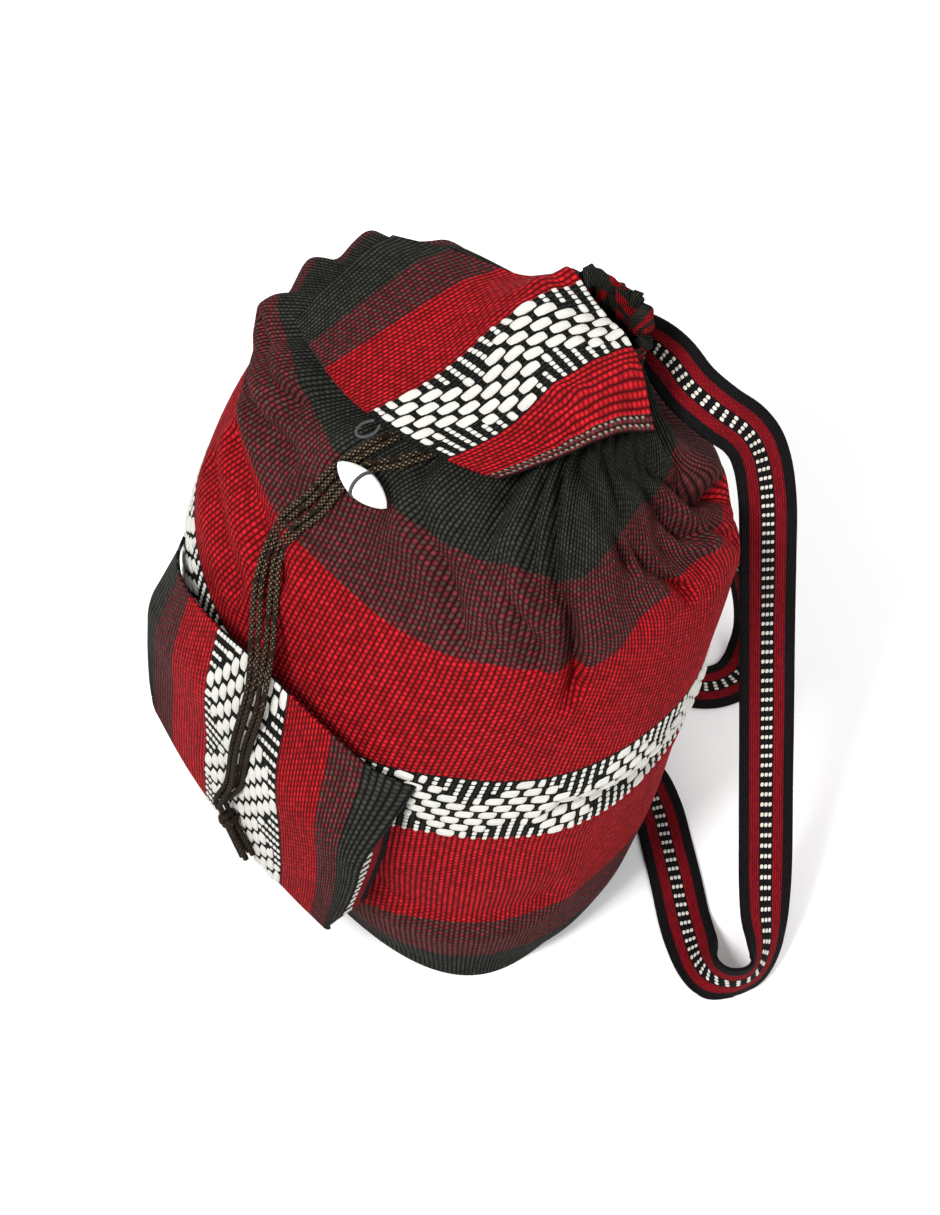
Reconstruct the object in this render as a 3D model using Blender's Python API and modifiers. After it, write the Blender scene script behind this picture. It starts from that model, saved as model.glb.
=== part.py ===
"""Woven drawstring backpack, stuffed and standing on its base.

Metres, +Z up. The origin is the middle of the base on the floor and the pocket faces -Y.
The straps are at +Y, against the wearer's back, so +X is the wearer's right.
"""
import math

import bmesh
import bpy
import numpy as np
from mathutils import Matrix, Vector
from mathutils.bvhtree import BVHTree

# Cloth and clearances. Rays that look for the bag's surface start outside it, at RAY_START.
WALL = 0.0020
RAY_START = 0.5
SEAM_GAP = 0.0004
SEAM_BAND = 0.004

# Sections of the stuffed bag, from the base up to the drawn neck. Each holds height,
# centre x, centre y, half width, half depth, squareness and tilt in degrees, and is
# named after the woven stripe that starts there.
SECTIONS = {
    "base": (0.000, 0.000, 0.000, 0.148, 0.078, 3.0, 0.0),
    "mixed": (0.026, 0.000, 0.011, 0.155, 0.098, 2.6, 0.0),
    "red": (0.060, 0.000, 0.022, 0.159, 0.114, 2.4, 0.0),
    "band": (0.141, 0.000, 0.040, 0.161, 0.126, 2.2, 1.0),
    "upper_red": (0.195, 0.000, 0.053, 0.165, 0.123, 2.2, 6.0),
    "upper_mixed": (0.265, 0.002, 0.074, 0.154, 0.096, 2.6, 9.0),
    "upper_black": (0.303, 0.004, 0.074, 0.127, 0.064, 2.8, 6.0),
    "neck": (0.329, 0.033, 0.119, 0.026, 0.026, 2.0, 12.0),
}
STRIPES = ["black", "mixed", "red", "white", "red", "mixed", "black"]
ROUND_STEPS = 70
PLEATS = 14
PLEAT_DEPTH = 0.0042
NECK_PLEAT_DEPTH = 0.0016
NECK_HEIGHT = 0.010
PLEAT_START, PLEAT_END, PLEAT_END_PLACE = 2.2, 1.6, 0.6
RUFFLE_RISE_BACK = 0.021
RUFFLE_RISE_FRONT = 0.006
RUFFLE_FLARE = 0.009
RUFFLE_WAVE = 0.0028
RUFFLE_CURL = 1.3

# Folds of the cloth. Each holds the line of its valley as (degrees round the bag, section
# from the base), its half width and its depth. FOLD_SCALE turns a radian and a section into
# metres along the cloth, and the folds run out below the gathered neck.
FOLD_SCALE = (0.125, 0.045)
FOLD_END, FOLD_FADE = 6.4, 0.5
FOLDS = [([(-46, 6.6), (-42, 6.2), (-39, 5.9), (-35, 5.6), (-34, 5.15), (-31, 4.8)], 0.013, 0.0065),
         ([(-11, 6.8), (22, 6.4), (40, 5.8), (46, 5.1)], 0.014, 0.0085),
         ([(-22, 6.7), (-8, 6.2), (2, 5.7), (8, 5.2)], 0.012, 0.0045),
         ([(100, 6.1), (110, 5.9), (116, 5.4)], 0.026, 0.0100),
         ([(60, 4.6), (80, 4.2), (100, 3.6)], 0.014, 0.0045),
         ([(120, 4.8), (135, 4.2), (140, 3.4)], 0.014, 0.0050),
         ([(-160, 4.9), (-140, 4.75), (-124, 4.6)], 0.012, 0.0045)]

# Base panel
BASE_THICK = 0.0020

# Drawcord
CORD_DIAMETER = 0.0032
CORD_SPACING = 0.0040
RING_DIAMETER = 0.0036
RING_LIFT = 0.0062
STRAND_STEPS = 36
STRAND_ARRIVAL = 0.009
STRAND_END_GAP = 0.0018
CORD_LEFT = [(0.018, 0.072, 0.3240), (0.008, 0.054, 0.3168), (-0.002, 0.034, 0.3104), (-0.008, 0.019, 0.3052),
             (-0.014, 0.0055, 0.2986), (-0.0215, -0.0076, 0.2867), (-0.030, -0.0178, 0.2655),
             (-0.0405, -0.0274, 0.2453), (-0.0429, -0.0380, 0.2277), (-0.0355, -0.0524, 0.2136),
             (-0.0159, -0.0703, 0.2060), (0.0035, -0.0872, 0.2015), (0.0095, -0.0964, 0.1900),
             (0.0107, -0.1086, 0.1600), (0.0083, -0.1142, 0.1250)]
CORD_RIGHT = [(0.034, 0.072, 0.3228), (0.026, 0.054, 0.3142), (0.016, 0.034, 0.3072), (0.005, 0.016, 0.3010),
              (-0.0068, 0.0036, 0.2943), (-0.0145, -0.0085, 0.2822), (-0.0215, -0.018, 0.2618),
              (-0.0315, -0.0296, 0.2434), (-0.0334, -0.0397, 0.2273), (-0.0231, -0.0519, 0.2142),
              (-0.0037, -0.0700, 0.2060), (0.0128, -0.0869, 0.2020), (0.0187, -0.0955, 0.1900),
              (0.0166, -0.1051, 0.1600), (0.0125, -0.1103, 0.1250)]
KNOT_PLACE = (0.008, -0.1180, 0.091)
KNOT_TAIL_WAY = (0.46, 0.04, -0.88)
KNOT_PROFILE = [(0.0, 0.0065), (0.0030, 0.0062), (0.0050, 0.0045), (0.0056, 0.0020), (0.0048, 0.0),
                (0.0056, -0.0020), (0.0048, -0.0048), (0.0034, -0.0062), (0.0036, -0.0100),
                (0.0040, -0.0200), (0.0044, -0.0290), (0.0, -0.0290)]

# Flap: corners in plan, and its woven stripes from left to right. Each stripe holds the
# x of its right edge at the tip and at the root, and its number of columns.
FLAP_ROOT_LEFT = (-0.110, 0.105)
FLAP_ROOT_RIGHT = (0.092, 0.112)
FLAP_TIP_LEFT = (-0.100, 0.030)
FLAP_TIP_RIGHT = (0.058, 0.038)
FLAP_ROOT_ROUND = 0.024
FLAP_TIP_ROUND = 0.018
FLAP_THICK = 0.0020
FLAP_CLEARANCE = 0.0066
FLAP_ROOT_CLEARANCE = 0.0012
FLAP_HUMP = 0.022
FLAP_HUMP_REACH = 0.034
FLAP_FALL = 0.25
FLAP_REST = 0.005
FLAP_ROWS = 14
FLAP_STRIPES = [("black", -0.080, -0.078, 4), ("mixed", -0.060, -0.046, 3), ("red", -0.021, 0.012, 6),
                ("white", 0.031, 0.061, 6), ("red", 0.052, 0.086, 4), ("mixed", 0.058, 0.094, 1)]

# Cord loop on the flap's tip
LOOP_PLACE = -0.014
LOOP_WIDTH = 0.009
LOOP_REACH = 0.013
LOOP_RADIUS = 0.0008
LOOP_STEPS = 16
LOOP_SHAPE = [(-0.5, 0.0), (-0.8, 0.2), (-1.0, 0.5), (-0.7, 0.85), (0.0, 1.0), (0.7, 0.85), (1.0, 0.5),
              (0.8, 0.2), (0.5, 0.0)]

# Patch pocket: its outline on the front as (x, z), and how far it stands off the bag.
# Each stripe holds the share of the width at its right edge, at the top and at the bottom.
POCKET_TOP = [(-0.118, 0.168), (-0.062, 0.189), (-0.005, 0.200), (0.050, 0.195), (0.102, 0.175)]
POCKET_BOTTOM = [(-0.085, 0.078), (-0.020, 0.051), (0.042, 0.046), (0.090, 0.056)]
POCKET_LEFT = [(-0.118, 0.168), (-0.111, 0.120), (-0.085, 0.078)]
POCKET_RIGHT = [(0.102, 0.175), (0.100, 0.112), (0.090, 0.056)]
POCKET_THICK = 0.0020
POCKET_MOUTH_GAP = 0.020
POCKET_DEPTH_LEFT = 0.024
POCKET_HOLLOW = 0.012
POCKET_ROWS = 14
POCKET_ROUND = 0.7
POCKET_BELLY_END, POCKET_EDGE_END = 0.5, 0.35
POCKET_STRIPE_BOW = 0.065
POCKET_STRIPES = [("black", 0.120, 0.020, 3), ("mixed", 0.217, 0.120, 2), ("red", 0.365, 0.290, 3),
                  ("white", 0.635, 0.670, 6), ("red", 0.783, 0.870, 3), ("mixed", 0.880, 0.960, 2),
                  ("black", 1.000, 1.000, 3)]

# Sash band, woven as one narrow strip for the shoulder straps and the pocket's side
SASH_WIDTH = 0.031
SASH_THICK = 0.0020
GUSSET_THICK = 0.0016
GUSSET_INSET = 0.007
GUSSET_START = 3
STRAP_STEPS = 60
STRAP_FLOOR_GAP = 0.0002

# Toggle of the flap's closure
TOGGLE_PLACE = (0.002, 0.004)
TOGGLE_LENGTH = 0.040
TOGGLE_RADIUS = 0.0078
TOGGLE_GROOVE_DEPTH = 0.0012
TOGGLE_GROOVE_WIDTH = 0.0026
TOGGLE_HEIGHT = 0.0150
TOGGLE_FIT = 0.0003
TIE_RADIUS = 0.0009
TIE_STEM_RADIUS = 0.00085
TOGGLE_STEPS = 8
TOGGLE_FULLNESS = 0.72
TOGGLE_FOOT = (0.012, 0.010)

COLOURS = {
    "black": (0.028, 0.027, 0.024),
    "mixed": (0.100, 0.026, 0.026),
    "red": (0.400, 0.010, 0.013),
    "white": (0.740, 0.715, 0.660),
    "sash": (0.290, 0.007, 0.013),
    "drawcord": (0.045, 0.032, 0.020),
    "toggle": (0.880, 0.880, 0.860),
    "thread": (0.100, 0.110, 0.110),
}


def start_scene():
    for thing in list(bpy.data.objects):
        bpy.data.objects.remove(thing, do_unlink=True)
    parts = bpy.data.collections.new("drawstring_backpack")
    bpy.context.scene.collection.children.link(parts)
    return parts


def material(name):
    found = bpy.data.materials.get(name)
    if found:
        return found
    made = bpy.data.materials.new(name)
    made.use_nodes = True
    shader = made.node_tree.nodes["Principled BSDF"]
    shader.inputs["Base Color"].default_value = (*COLOURS[name], 1.0)
    shader.inputs["Roughness"].default_value = 0.25 if name == "toggle" else 0.9
    shader.inputs["Metallic"].default_value = 0.0
    return made


def smooth_through(rows, place):
    """Value of a smooth curve through the rows, at place 0 for the first row."""
    rows = np.asarray(rows, dtype=float)
    last = len(rows) - 1
    index = min(int(place), last - 1)
    part = place - index
    start, end = rows[index], rows[index + 1]
    before = rows[index - 1] if index > 0 else 2 * start - end
    after = rows[index + 2] if index + 2 <= last else 2 * end - start
    square, cube = part ** 2, part ** 3
    return ((2 * cube - 3 * square + 1) * start + (cube - 2 * square + part) * (end - before) / 2
            + (3 * square - 2 * cube) * end + (cube - square) * (after - start) / 2)


def smooth_step(value):
    value = min(max(value, 0.0), 1.0)
    return value * value * (3 - 2 * value)


def section_points(section, angles, grow=0.0):
    """Points of one rounded, tilted section of the bag."""
    height, centre_x, centre_y, half_width, half_depth, squareness, tilt = section
    cosine, sine = np.cos(angles), np.sin(angles)
    reach = (np.abs(cosine) ** squareness + np.abs(sine) ** squareness) ** (-1.0 / squareness)
    lean = math.radians(tilt)
    across = (half_depth + grow) * reach * sine
    return np.stack([centre_x + (half_width + grow) * reach * cosine,
                     centre_y + across * math.cos(lean),
                     height + across * math.sin(lean)], axis=-1)


def place_of(name):
    return list(SECTIONS).index(name)


def grid_mesh(name, grid, closed_round=False):
    """Quads over a grid of points, indexed [row][column]."""
    rows, columns = len(grid), len(grid[0])
    points = [tuple(point) for row in grid for point in row]
    faces = []
    for row in range(rows - 1):
        for column in range(columns if closed_round else columns - 1):
            right = (column + 1) % columns
            faces.append((row * columns + column, row * columns + right,
                          (row + 1) * columns + right, (row + 1) * columns + column))
    mesh = bpy.data.meshes.new(name)
    mesh.from_pydata(points, [], faces)
    mesh.update()
    return mesh


def add_object(name, mesh, parts, materials, thickness=None, offset=-1.0, even=True):
    """An object with its materials and, on an open surface, its cloth thickness."""
    made = bpy.data.objects.new(name, mesh)
    parts.objects.link(made)
    for each in materials:
        mesh.materials.append(material(each))
    mesh.shade_smooth()
    mesh.set_sharp_from_angle(angle=math.radians(50))
    if thickness:
        solid = made.modifiers.new("cloth", "SOLIDIFY")
        solid.thickness = thickness
        solid.offset = offset
        solid.use_even_offset = even
    return made


def surface_tree(made):
    bpy.context.view_layer.update()
    graph = bpy.context.evaluated_depsgraph_get()
    return BVHTree.FromObject(made, graph)


def fold_depth(place, angles):
    """How deep the folds are at one section place, at each angle."""
    here = np.stack([angles, np.full(len(angles), place)], axis=-1) * FOLD_SCALE
    once_round = np.array([2 * math.pi, 0.0]) * FOLD_SCALE
    found = np.zeros(len(angles))
    for line, half_width, depth in FOLDS:
        points = np.array([(math.radians(degrees), section) for degrees, section in line]) * FOLD_SCALE
        nearest = np.full(len(angles), np.inf)
        for start, end in zip(points[:-1], points[1:]):
            span = end - start
            for turn in (-1, 0, 1):
                away = here + turn * once_round - start
                share = np.clip((away @ span) / (span @ span), 0, 1)
                nearest = np.minimum(nearest, np.linalg.norm(away - share[:, None] * span, axis=1))
        found += depth * np.exp(-(nearest / half_width) ** 2)
    return found * smooth_step((FOLD_END - place) / FOLD_FADE)


def make_body(parts):
    """Stuffed bag: one shell from the base seam to the gathered, ruffled hem."""
    sections = list(SECTIONS.values())
    angles = np.linspace(-math.pi, math.pi, ROUND_STEPS, endpoint=False)
    shoulder = place_of("upper_mixed")
    folded = place_of("band")
    places = [step / 2 for step in range(2 * folded)]
    places += [folded + step / 4 for step in range(4 * (place_of("neck") - folded) + 1)]

    rows = [section_points(sections[0], angles)]
    seam_lift = np.array([0.0, 0.0, SEAM_BAND])
    stripe_of_row = ["black"]
    for place in places:
        section = smooth_through(sections, place)
        row = section_points(section, angles)
        if place == 0:
            row = row + seam_lift
        rows.append(row)
        stripe_of_row.append(STRIPES[min(int(place), len(STRIPES) - 1)])

    neck = SECTIONS["neck"]
    tilt = math.radians(neck[-1])
    up = np.array([0.0, -math.sin(tilt), math.cos(tilt)])
    back = (1 + np.sin(angles)) / 2
    rise = RUFFLE_RISE_FRONT + (RUFFLE_RISE_BACK - RUFFLE_RISE_FRONT) * back
    for share in (0.5, 1.0):
        rows.append(section_points(neck, angles) + up * NECK_HEIGHT * share)
    for share in (0.5, 1.0):
        flared = section_points(neck, angles, grow=RUFFLE_FLARE * share ** RUFFLE_CURL)
        rows.append(flared + up * NECK_HEIGHT + np.outer(rise * share, up))
    stripe_of_row += ["black", "mixed", "red", "black"]

    grid = np.array(rows)
    around = np.roll(grid, -1, axis=1) - np.roll(grid, 1, axis=1)
    upward = np.gradient(grid, axis=0)
    normals = np.cross(around, upward)
    normals /= np.linalg.norm(normals, axis=2, keepdims=True)
    first_neck_row = len(places)
    first_pleat_row = len(places) - 4 * (place_of("neck") - shoulder) - 1
    wave = np.cos(PLEATS * angles)
    for row in range(first_pleat_row, len(grid)):
        if row < first_neck_row:
            share = (row - first_pleat_row) / (first_neck_row - first_pleat_row)
            late = smooth_step(PLEAT_END * share - PLEAT_END_PLACE)
            depth = PLEAT_DEPTH * smooth_step(PLEAT_START * share) * (1 - late) + NECK_PLEAT_DEPTH * late
        elif row <= first_neck_row + 2:
            depth = NECK_PLEAT_DEPTH
        else:
            depth = RUFFLE_WAVE * (row - first_neck_row - 2) / 2
        grid[row] += normals[row] * (depth * wave)[:, None]
    for row, place in enumerate(places):
        grid[row + 1] -= normals[row + 1] * fold_depth(place, angles)[:, None]

    mesh = grid_mesh("bag_body", grid, closed_round=True)
    made = add_object("bag_body", mesh, parts, ["black", "mixed", "red", "white"], WALL, even=False)
    slots = {"black": 0, "mixed": 1, "red": 2, "white": 3}
    for index, face in enumerate(mesh.polygons):
        face.material_index = slots[stripe_of_row[index // ROUND_STEPS]]
    return made


def make_base(parts):
    """Flat bottom panel inside the base seam."""
    angles = np.linspace(-math.pi, math.pi, ROUND_STEPS, endpoint=False)
    outline = section_points(SECTIONS["base"], angles, grow=-(WALL + SEAM_GAP))
    shape = bmesh.new()
    corners = [shape.verts.new(point) for point in outline]
    shape.faces.new(corners)
    mesh = bpy.data.meshes.new("base_panel")
    shape.to_mesh(mesh)
    shape.free()
    return add_object("base_panel", mesh, parts, ["black"], BASE_THICK, offset=1.0)


def neck_frame():
    """Middle of the drawn neck and its axis."""
    height, centre_x, centre_y, radius = SECTIONS["neck"][:4]
    tilt = math.radians(SECTIONS["neck"][-1])
    return Vector((centre_x, centre_y, height)), Vector((0, -math.sin(tilt), math.cos(tilt))), radius


def make_ring(parts):
    """Drawcord drawn tight round the gathered neck."""
    middle, axis, radius = neck_frame()
    big = radius + NECK_PLEAT_DEPTH + RING_DIAMETER / 2 + SEAM_GAP
    bpy.ops.mesh.primitive_torus_add(major_radius=big, minor_radius=RING_DIAMETER / 2,
                                     major_segments=40, minor_segments=8)
    made = bpy.context.object
    made.name = made.data.name = "drawcord_ring"
    made.location = middle + axis * RING_LIFT
    made.rotation_euler = (math.radians(SECTIONS["neck"][-1]), 0, 0)
    made.data.materials.append(material("drawcord"))
    move_to(made, parts)
    made.data.shade_smooth()


def cover_height(tree, x, y):
    """Highest cloth of the bag near a place in plan, with the mouth bridged over."""
    middle = neck_frame()[0]
    best = -1.0
    for shift_x in (-FLAP_REST, 0.0, FLAP_REST):
        for shift_y in (-FLAP_REST, 0.0, FLAP_REST):
            hit = tree.ray_cast(Vector((x + shift_x, y + shift_y, RAY_START)), Vector((0, 0, -1)))[0]
            if hit is not None:
                best = max(best, hit.z)
    distance = math.hypot(x - middle.x, y - middle.y)
    hump = middle.z + FLAP_HUMP * math.exp(-(distance / FLAP_HUMP_REACH) ** 2)
    return max(best, hump - FLAP_FALL * distance)


def flap_plan(across, along):
    """Place in plan of the flap at across 0 (left) to 1 (right) and along 0 (root) to 1 (tip)."""
    root = np.array(FLAP_ROOT_LEFT) * (1 - across) + np.array(FLAP_ROOT_RIGHT) * across
    tip = np.array(FLAP_TIP_LEFT) * (1 - across) + np.array(FLAP_TIP_RIGHT) * across
    middle = np.array([0.0, 1 - (2 * across - 1) ** 2])
    root = root + middle * FLAP_ROOT_ROUND
    tip = tip - middle * FLAP_TIP_ROUND
    return root * (1 - along) + tip * along


def stripe_shares(edges, columns):
    """Shares of the width at each column, with a column edge on every stripe's edge."""
    shares = [0.0]
    start = 0.0
    for end, count in zip(edges, columns):
        shares += [start + (end - start) * (step + 1) / count for step in range(count)]
        start = end
    return shares


def flap_shares(along):
    """Shares of the flap's width at its columns, at along 0 (root) to 1 (tip)."""
    edges = []
    for _, tip, root, _ in FLAP_STRIPES:
        at_tip = (tip - FLAP_TIP_LEFT[0]) / (FLAP_TIP_RIGHT[0] - FLAP_TIP_LEFT[0])
        at_root = (root - FLAP_ROOT_LEFT[0]) / (FLAP_ROOT_RIGHT[0] - FLAP_ROOT_LEFT[0])
        edges.append(at_root * (1 - along) + at_tip * along)
    return stripe_shares(edges, [stripe[-1] for stripe in FLAP_STRIPES])


def colour_stripes(mesh, stripes):
    """Each column of faces takes the colour of its stripe."""
    slots = [slot.name for slot in mesh.materials]
    names = [stripe[0] for stripe in stripes for _ in range(stripe[-1])]
    for index, face in enumerate(mesh.polygons):
        face.material_index = slots.index(names[index % len(names)])


def make_flap(parts, tree):
    """Wide flap over the gathered mouth, resting on the bag's top."""
    grid = []
    for row in range(FLAP_ROWS + 1):
        plan = [flap_plan(share, row / FLAP_ROWS) for share in flap_shares(row / FLAP_ROWS)]
        grid.append([(x, y, cover_height(tree, x, y)) for x, y in plan])
    grid = np.array(grid)
    raw = grid[:, :, 2].copy()
    rows, columns = raw.shape
    padded = np.pad(raw, 1, mode="edge")
    around = [padded[1 + i:rows + 1 + i, 1 + j:columns + 1 + j] for i in (-1, 0, 1) for j in (-1, 0, 1)]
    grid[:, :, 2] = np.max(around, axis=0)
    for _ in range(4):
        padded = np.pad(grid[:, :, 2], 1, mode="edge")
        grid[:, :, 2] = (padded[:-2, 1:-1] + padded[2:, 1:-1] + padded[1:-1, :-2] + padded[1:-1, 2:]) / 4
    grid[:, :, 2] = np.maximum(grid[:, :, 2], raw)
    clear = np.array([FLAP_ROOT_CLEARANCE + (FLAP_CLEARANCE - FLAP_ROOT_CLEARANCE)
                      * smooth_step(4 * row / FLAP_ROWS) for row in range(rows)])
    grid[:, :, 2] += clear[:, None]
    mesh = grid_mesh("top_flap", grid)
    add_object("top_flap", mesh, parts, ["black", "mixed", "red", "white"], FLAP_THICK, 1.0)
    colour_stripes(mesh, FLAP_STRIPES)
    mesh.flip_normals()
    return grid[-1]


def make_flap_loop(parts, tip):
    """Thin cord loop on the edge of the flap's tip."""
    index = int(np.argmin(np.abs(tip[:, 0] - LOOP_PLACE)))
    x, y, z = tip[index]
    root = y - LOOP_RADIUS - SEAM_GAP
    half = LOOP_WIDTH / 2
    points = [(x + half * wide, root - LOOP_REACH * far, z + FLAP_THICK / 2) for wide, far in LOOP_SHAPE]
    tube("flap_loop", parts, points, LOOP_RADIUS, LOOP_STEPS, "thread")


def pocket_plan(across, down):
    """Place on the front of the pocket's panel, as (x, z), blended from its four edges."""
    def on(edge, share):
        return smooth_through(edge, share * (len(edge) - 1))
    top, bottom = on(POCKET_TOP, across), on(POCKET_BOTTOM, across)
    left, right = on(POCKET_LEFT, down), on(POCKET_RIGHT, down)
    corners = ((1 - across) * (1 - down) * np.array(POCKET_TOP[0])
               + across * (1 - down) * np.array(POCKET_TOP[-1])
               + (1 - across) * down * np.array(POCKET_BOTTOM[0])
               + across * down * np.array(POCKET_BOTTOM[-1]))
    return (1 - down) * top + down * bottom + (1 - across) * left + across * right - corners


def front_of_bag(tree, x, z):
    """y of the bag's front cloth at a height."""
    hit = tree.ray_cast(Vector((x, -RAY_START, z)), Vector((0, 1, 0)))[0]
    return hit.y


def pocket_depth(across, down):
    """How far the pocket's panel stands off the bag."""
    middle = (1 - (2 * across - 1) ** 2) ** POCKET_ROUND
    side = POCKET_DEPTH_LEFT * (1 - across) + SASH_WIDTH * across
    belly = POCKET_MOUTH_GAP + (side - POCKET_HOLLOW - POCKET_MOUTH_GAP) * smooth_step(down / POCKET_BELLY_END)
    edge = side * smooth_step(down / POCKET_EDGE_END)
    return edge * (1 - middle) + belly * middle + SEAM_GAP + GUSSET_THICK


def pocket_point(tree, across, down):
    x, z = pocket_plan(across, down)
    return np.array([x, front_of_bag(tree, x, z) - pocket_depth(across, down), z])


def pocket_shares(down):
    """Shares of the pocket's width at its columns, at down 0 (hem) to 1 (bottom)."""
    straight = [top * (1 - down) + bottom * down for _, top, bottom, _ in POCKET_STRIPES]
    bow = 16 * POCKET_STRIPE_BOW * down * (1 - down)
    edges = [edge + bow * edge * (1 - edge) for edge in straight]
    return stripe_shares(edges, [stripe[-1] for stripe in POCKET_STRIPES])


def make_pocket_front(parts, tree):
    """Front panel of the patch pocket, its mouth standing off the bag."""
    grid = [[pocket_point(tree, share, row / POCKET_ROWS) for share in pocket_shares(row / POCKET_ROWS)]
            for row in range(POCKET_ROWS + 1)]
    mesh = grid_mesh("pocket_front", grid)
    made = add_object("pocket_front", mesh, parts, ["black", "mixed", "red", "white"], POCKET_THICK, 1.0)
    colour_stripes(mesh, POCKET_STRIPES)
    mesh.flip_normals()
    return made


def pocket_edge(step, steps_side, steps_bottom):
    """Position along the pocket's sewn edge: down the left, along the bottom, up the right."""
    if step <= steps_side:
        return 0.0, step / steps_side
    if step <= steps_side + steps_bottom:
        return (step - steps_side) / steps_bottom, 1.0
    return 1.0, 1 - (step - steps_side - steps_bottom) / steps_side


def make_gusset(parts, tree, panel_tree):
    """Side band of the pocket, a strip of sash sewn between the bag and the panel."""
    rows = POCKET_ROWS
    columns = sum(stripe[-1] for stripe in POCKET_STRIPES)
    total = 2 * rows + columns
    middle = np.mean(POCKET_BOTTOM + POCKET_TOP, axis=0)
    grid = []
    for step in range(GUSSET_START, total - GUSSET_START + 1):
        edge = np.array(pocket_plan(*pocket_edge(step, rows, columns)))
        inward = (middle - edge) / np.linalg.norm(middle - edge)
        skins, panels = [], []
        for shift in (-GUSSET_THICK, 0.0, GUSSET_THICK):
            x, z = edge + inward * (GUSSET_INSET + shift)
            skin = front_of_bag(tree, x, z)
            skins.append(skin)
            panels.append(panel_tree.ray_cast(Vector((x, skin, z)), Vector((0, -1, 0)))[0].y)
        x, z = edge + inward * GUSSET_INSET
        near, far = min(skins) - SEAM_GAP, max(panels) + SEAM_GAP
        grid.append([(x, near * (1 - share) + far * share, z) for share in (0.0, 0.5, 1.0)])
    mesh = grid_mesh("pocket_gusset", grid)
    return add_object("pocket_gusset", mesh, parts, ["sash"], GUSSET_THICK, 0.0)


def ribbon(name, parts, centre, across, thickness, width, rows):
    """A flat band along a smooth route, with its width direction given at each point."""
    count = len(centre) - 1
    places = [count * step / rows for step in range(rows + 1)]
    line = np.array([smooth_through(centre, place) for place in places])
    turn = np.array([smooth_through(across, place) for place in places])
    along = np.gradient(line, axis=0)
    along /= np.linalg.norm(along, axis=1, keepdims=True)
    turn -= along * (turn * along).sum(axis=1, keepdims=True)
    turn /= np.linalg.norm(turn, axis=1, keepdims=True)
    grid = np.array([[line[row] + turn[row] * width * share for share in (-0.5, 0.0, 0.5)]
                     for row in range(rows + 1)])
    grid[:, :, 2] = np.maximum(grid[:, :, 2], thickness / 2 + STRAP_FLOOR_GAP)
    mesh = grid_mesh(name, grid)
    return add_object(name, mesh, parts, ["sash"], thickness, 0.0)


def strap_heel(x):
    """y where a strap lying on the floor meets the back of the base seam."""
    half_width, half_depth, squareness = SECTIONS["base"][3:6]
    near = abs(x) - SASH_WIDTH / 2
    return half_depth * (1 - (near / half_width) ** squareness) ** (1 / squareness) + SEAM_GAP


def floor_run(points, side):
    """Points on the floor and the band's width direction at each, square to the run."""
    line = np.array(points)
    along = np.gradient(line, axis=0)
    along /= np.linalg.norm(along, axis=1, keepdims=True)
    floor = SASH_THICK / 2 + STRAP_FLOOR_GAP
    return ([(x, y, floor) for x, y in points],
            [(-side * step[1], side * step[0], 0.0) for step in along])


def right_strap_route():
    """Strap that arches out beside the bag, stands on its edge in a turn and runs back on the floor."""
    centre = [(0.024, 0.158, 0.318), (0.040, 0.160, 0.319), (0.058, 0.158, 0.320), (0.078, 0.153, 0.321),
              (0.097, 0.155, 0.318), (0.110, 0.163, 0.308), (0.118, 0.168, 0.291), (0.126, 0.169, 0.262),
              (0.136, 0.165, 0.222), (0.152, 0.156, 0.172), (0.180, 0.138, 0.100), (0.206, 0.118, 0.060),
              (0.227, 0.100, 0.036), (0.240, 0.089, 0.024), (0.2465, 0.079, 0.0185), (0.2475, 0.069, 0.0170),
              (0.243, 0.060, 0.0165), (0.233, 0.0555, 0.0140), (0.219, 0.0585, 0.0080),
              (0.204, 0.0665, 0.0030)]
    slanted = (0.05, -0.89, -0.45)
    sideways = (-0.643, -0.766, 0.0)
    across = [(0.15, 0.05, -0.99), (0.10, -0.40, -0.91), (0.05, -0.80, -0.60), slanted]
    across += [(0.0, -0.90, -0.40), (-0.20, -0.90, -0.35), (-0.45, -0.86, -0.18)]
    across += [sideways] * 5 + [(-0.58, -0.69, 0.43), (-0.40, -0.48, 0.78), (-0.20, -0.24, 0.95)]
    across += [(0.0, 0.0, 1.0), (0.05, 0.10, 0.99), (0.15, 0.35, 0.92), (0.32, 0.65, 0.69), (0.42, 0.86, 0.28)]
    low, low_across = floor_run([(0.188, 0.0755), (0.168, 0.0880), (0.146, 0.1010), (0.124, 0.1135),
                                 (0.102, 0.1210), (0.085, 0.1170), (0.0755, 0.1020),
                                 (0.073, 0.0880), (0.073, strap_heel(0.073))], -1.0)
    return centre + low, across + low_across


def left_strap_route():
    """Strap fallen behind the bag, with a loop of it on the floor."""
    centre = [(0.004, 0.157, 0.318), (-0.012, 0.167, 0.316), (-0.024, 0.178, 0.303), (-0.030, 0.187, 0.279),
              (-0.028, 0.194, 0.242), (-0.012, 0.206, 0.198), (0.015, 0.222, 0.148), (0.042, 0.236, 0.095),
              (0.062, 0.243, 0.048), (0.074, 0.240, 0.018)]
    across = [(0.80, 0.60, -0.10), (0.80, 0.55, 0.10), (0.90, 0.30, 0.10)] + [(1.0, 0.0, 0.0)] * 7
    low, low_across = floor_run([(0.081, 0.229), (0.084, 0.215), (0.079, 0.200), (0.066, 0.188),
                                 (0.045, 0.178), (0.015, 0.168), (-0.015, 0.157), (-0.038, 0.144),
                                 (-0.058, 0.127), (-0.073, 0.104), (-0.075, 0.088),
                                 (-0.075, strap_heel(0.075))], 1.0)
    return centre + low, across + low_across


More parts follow.
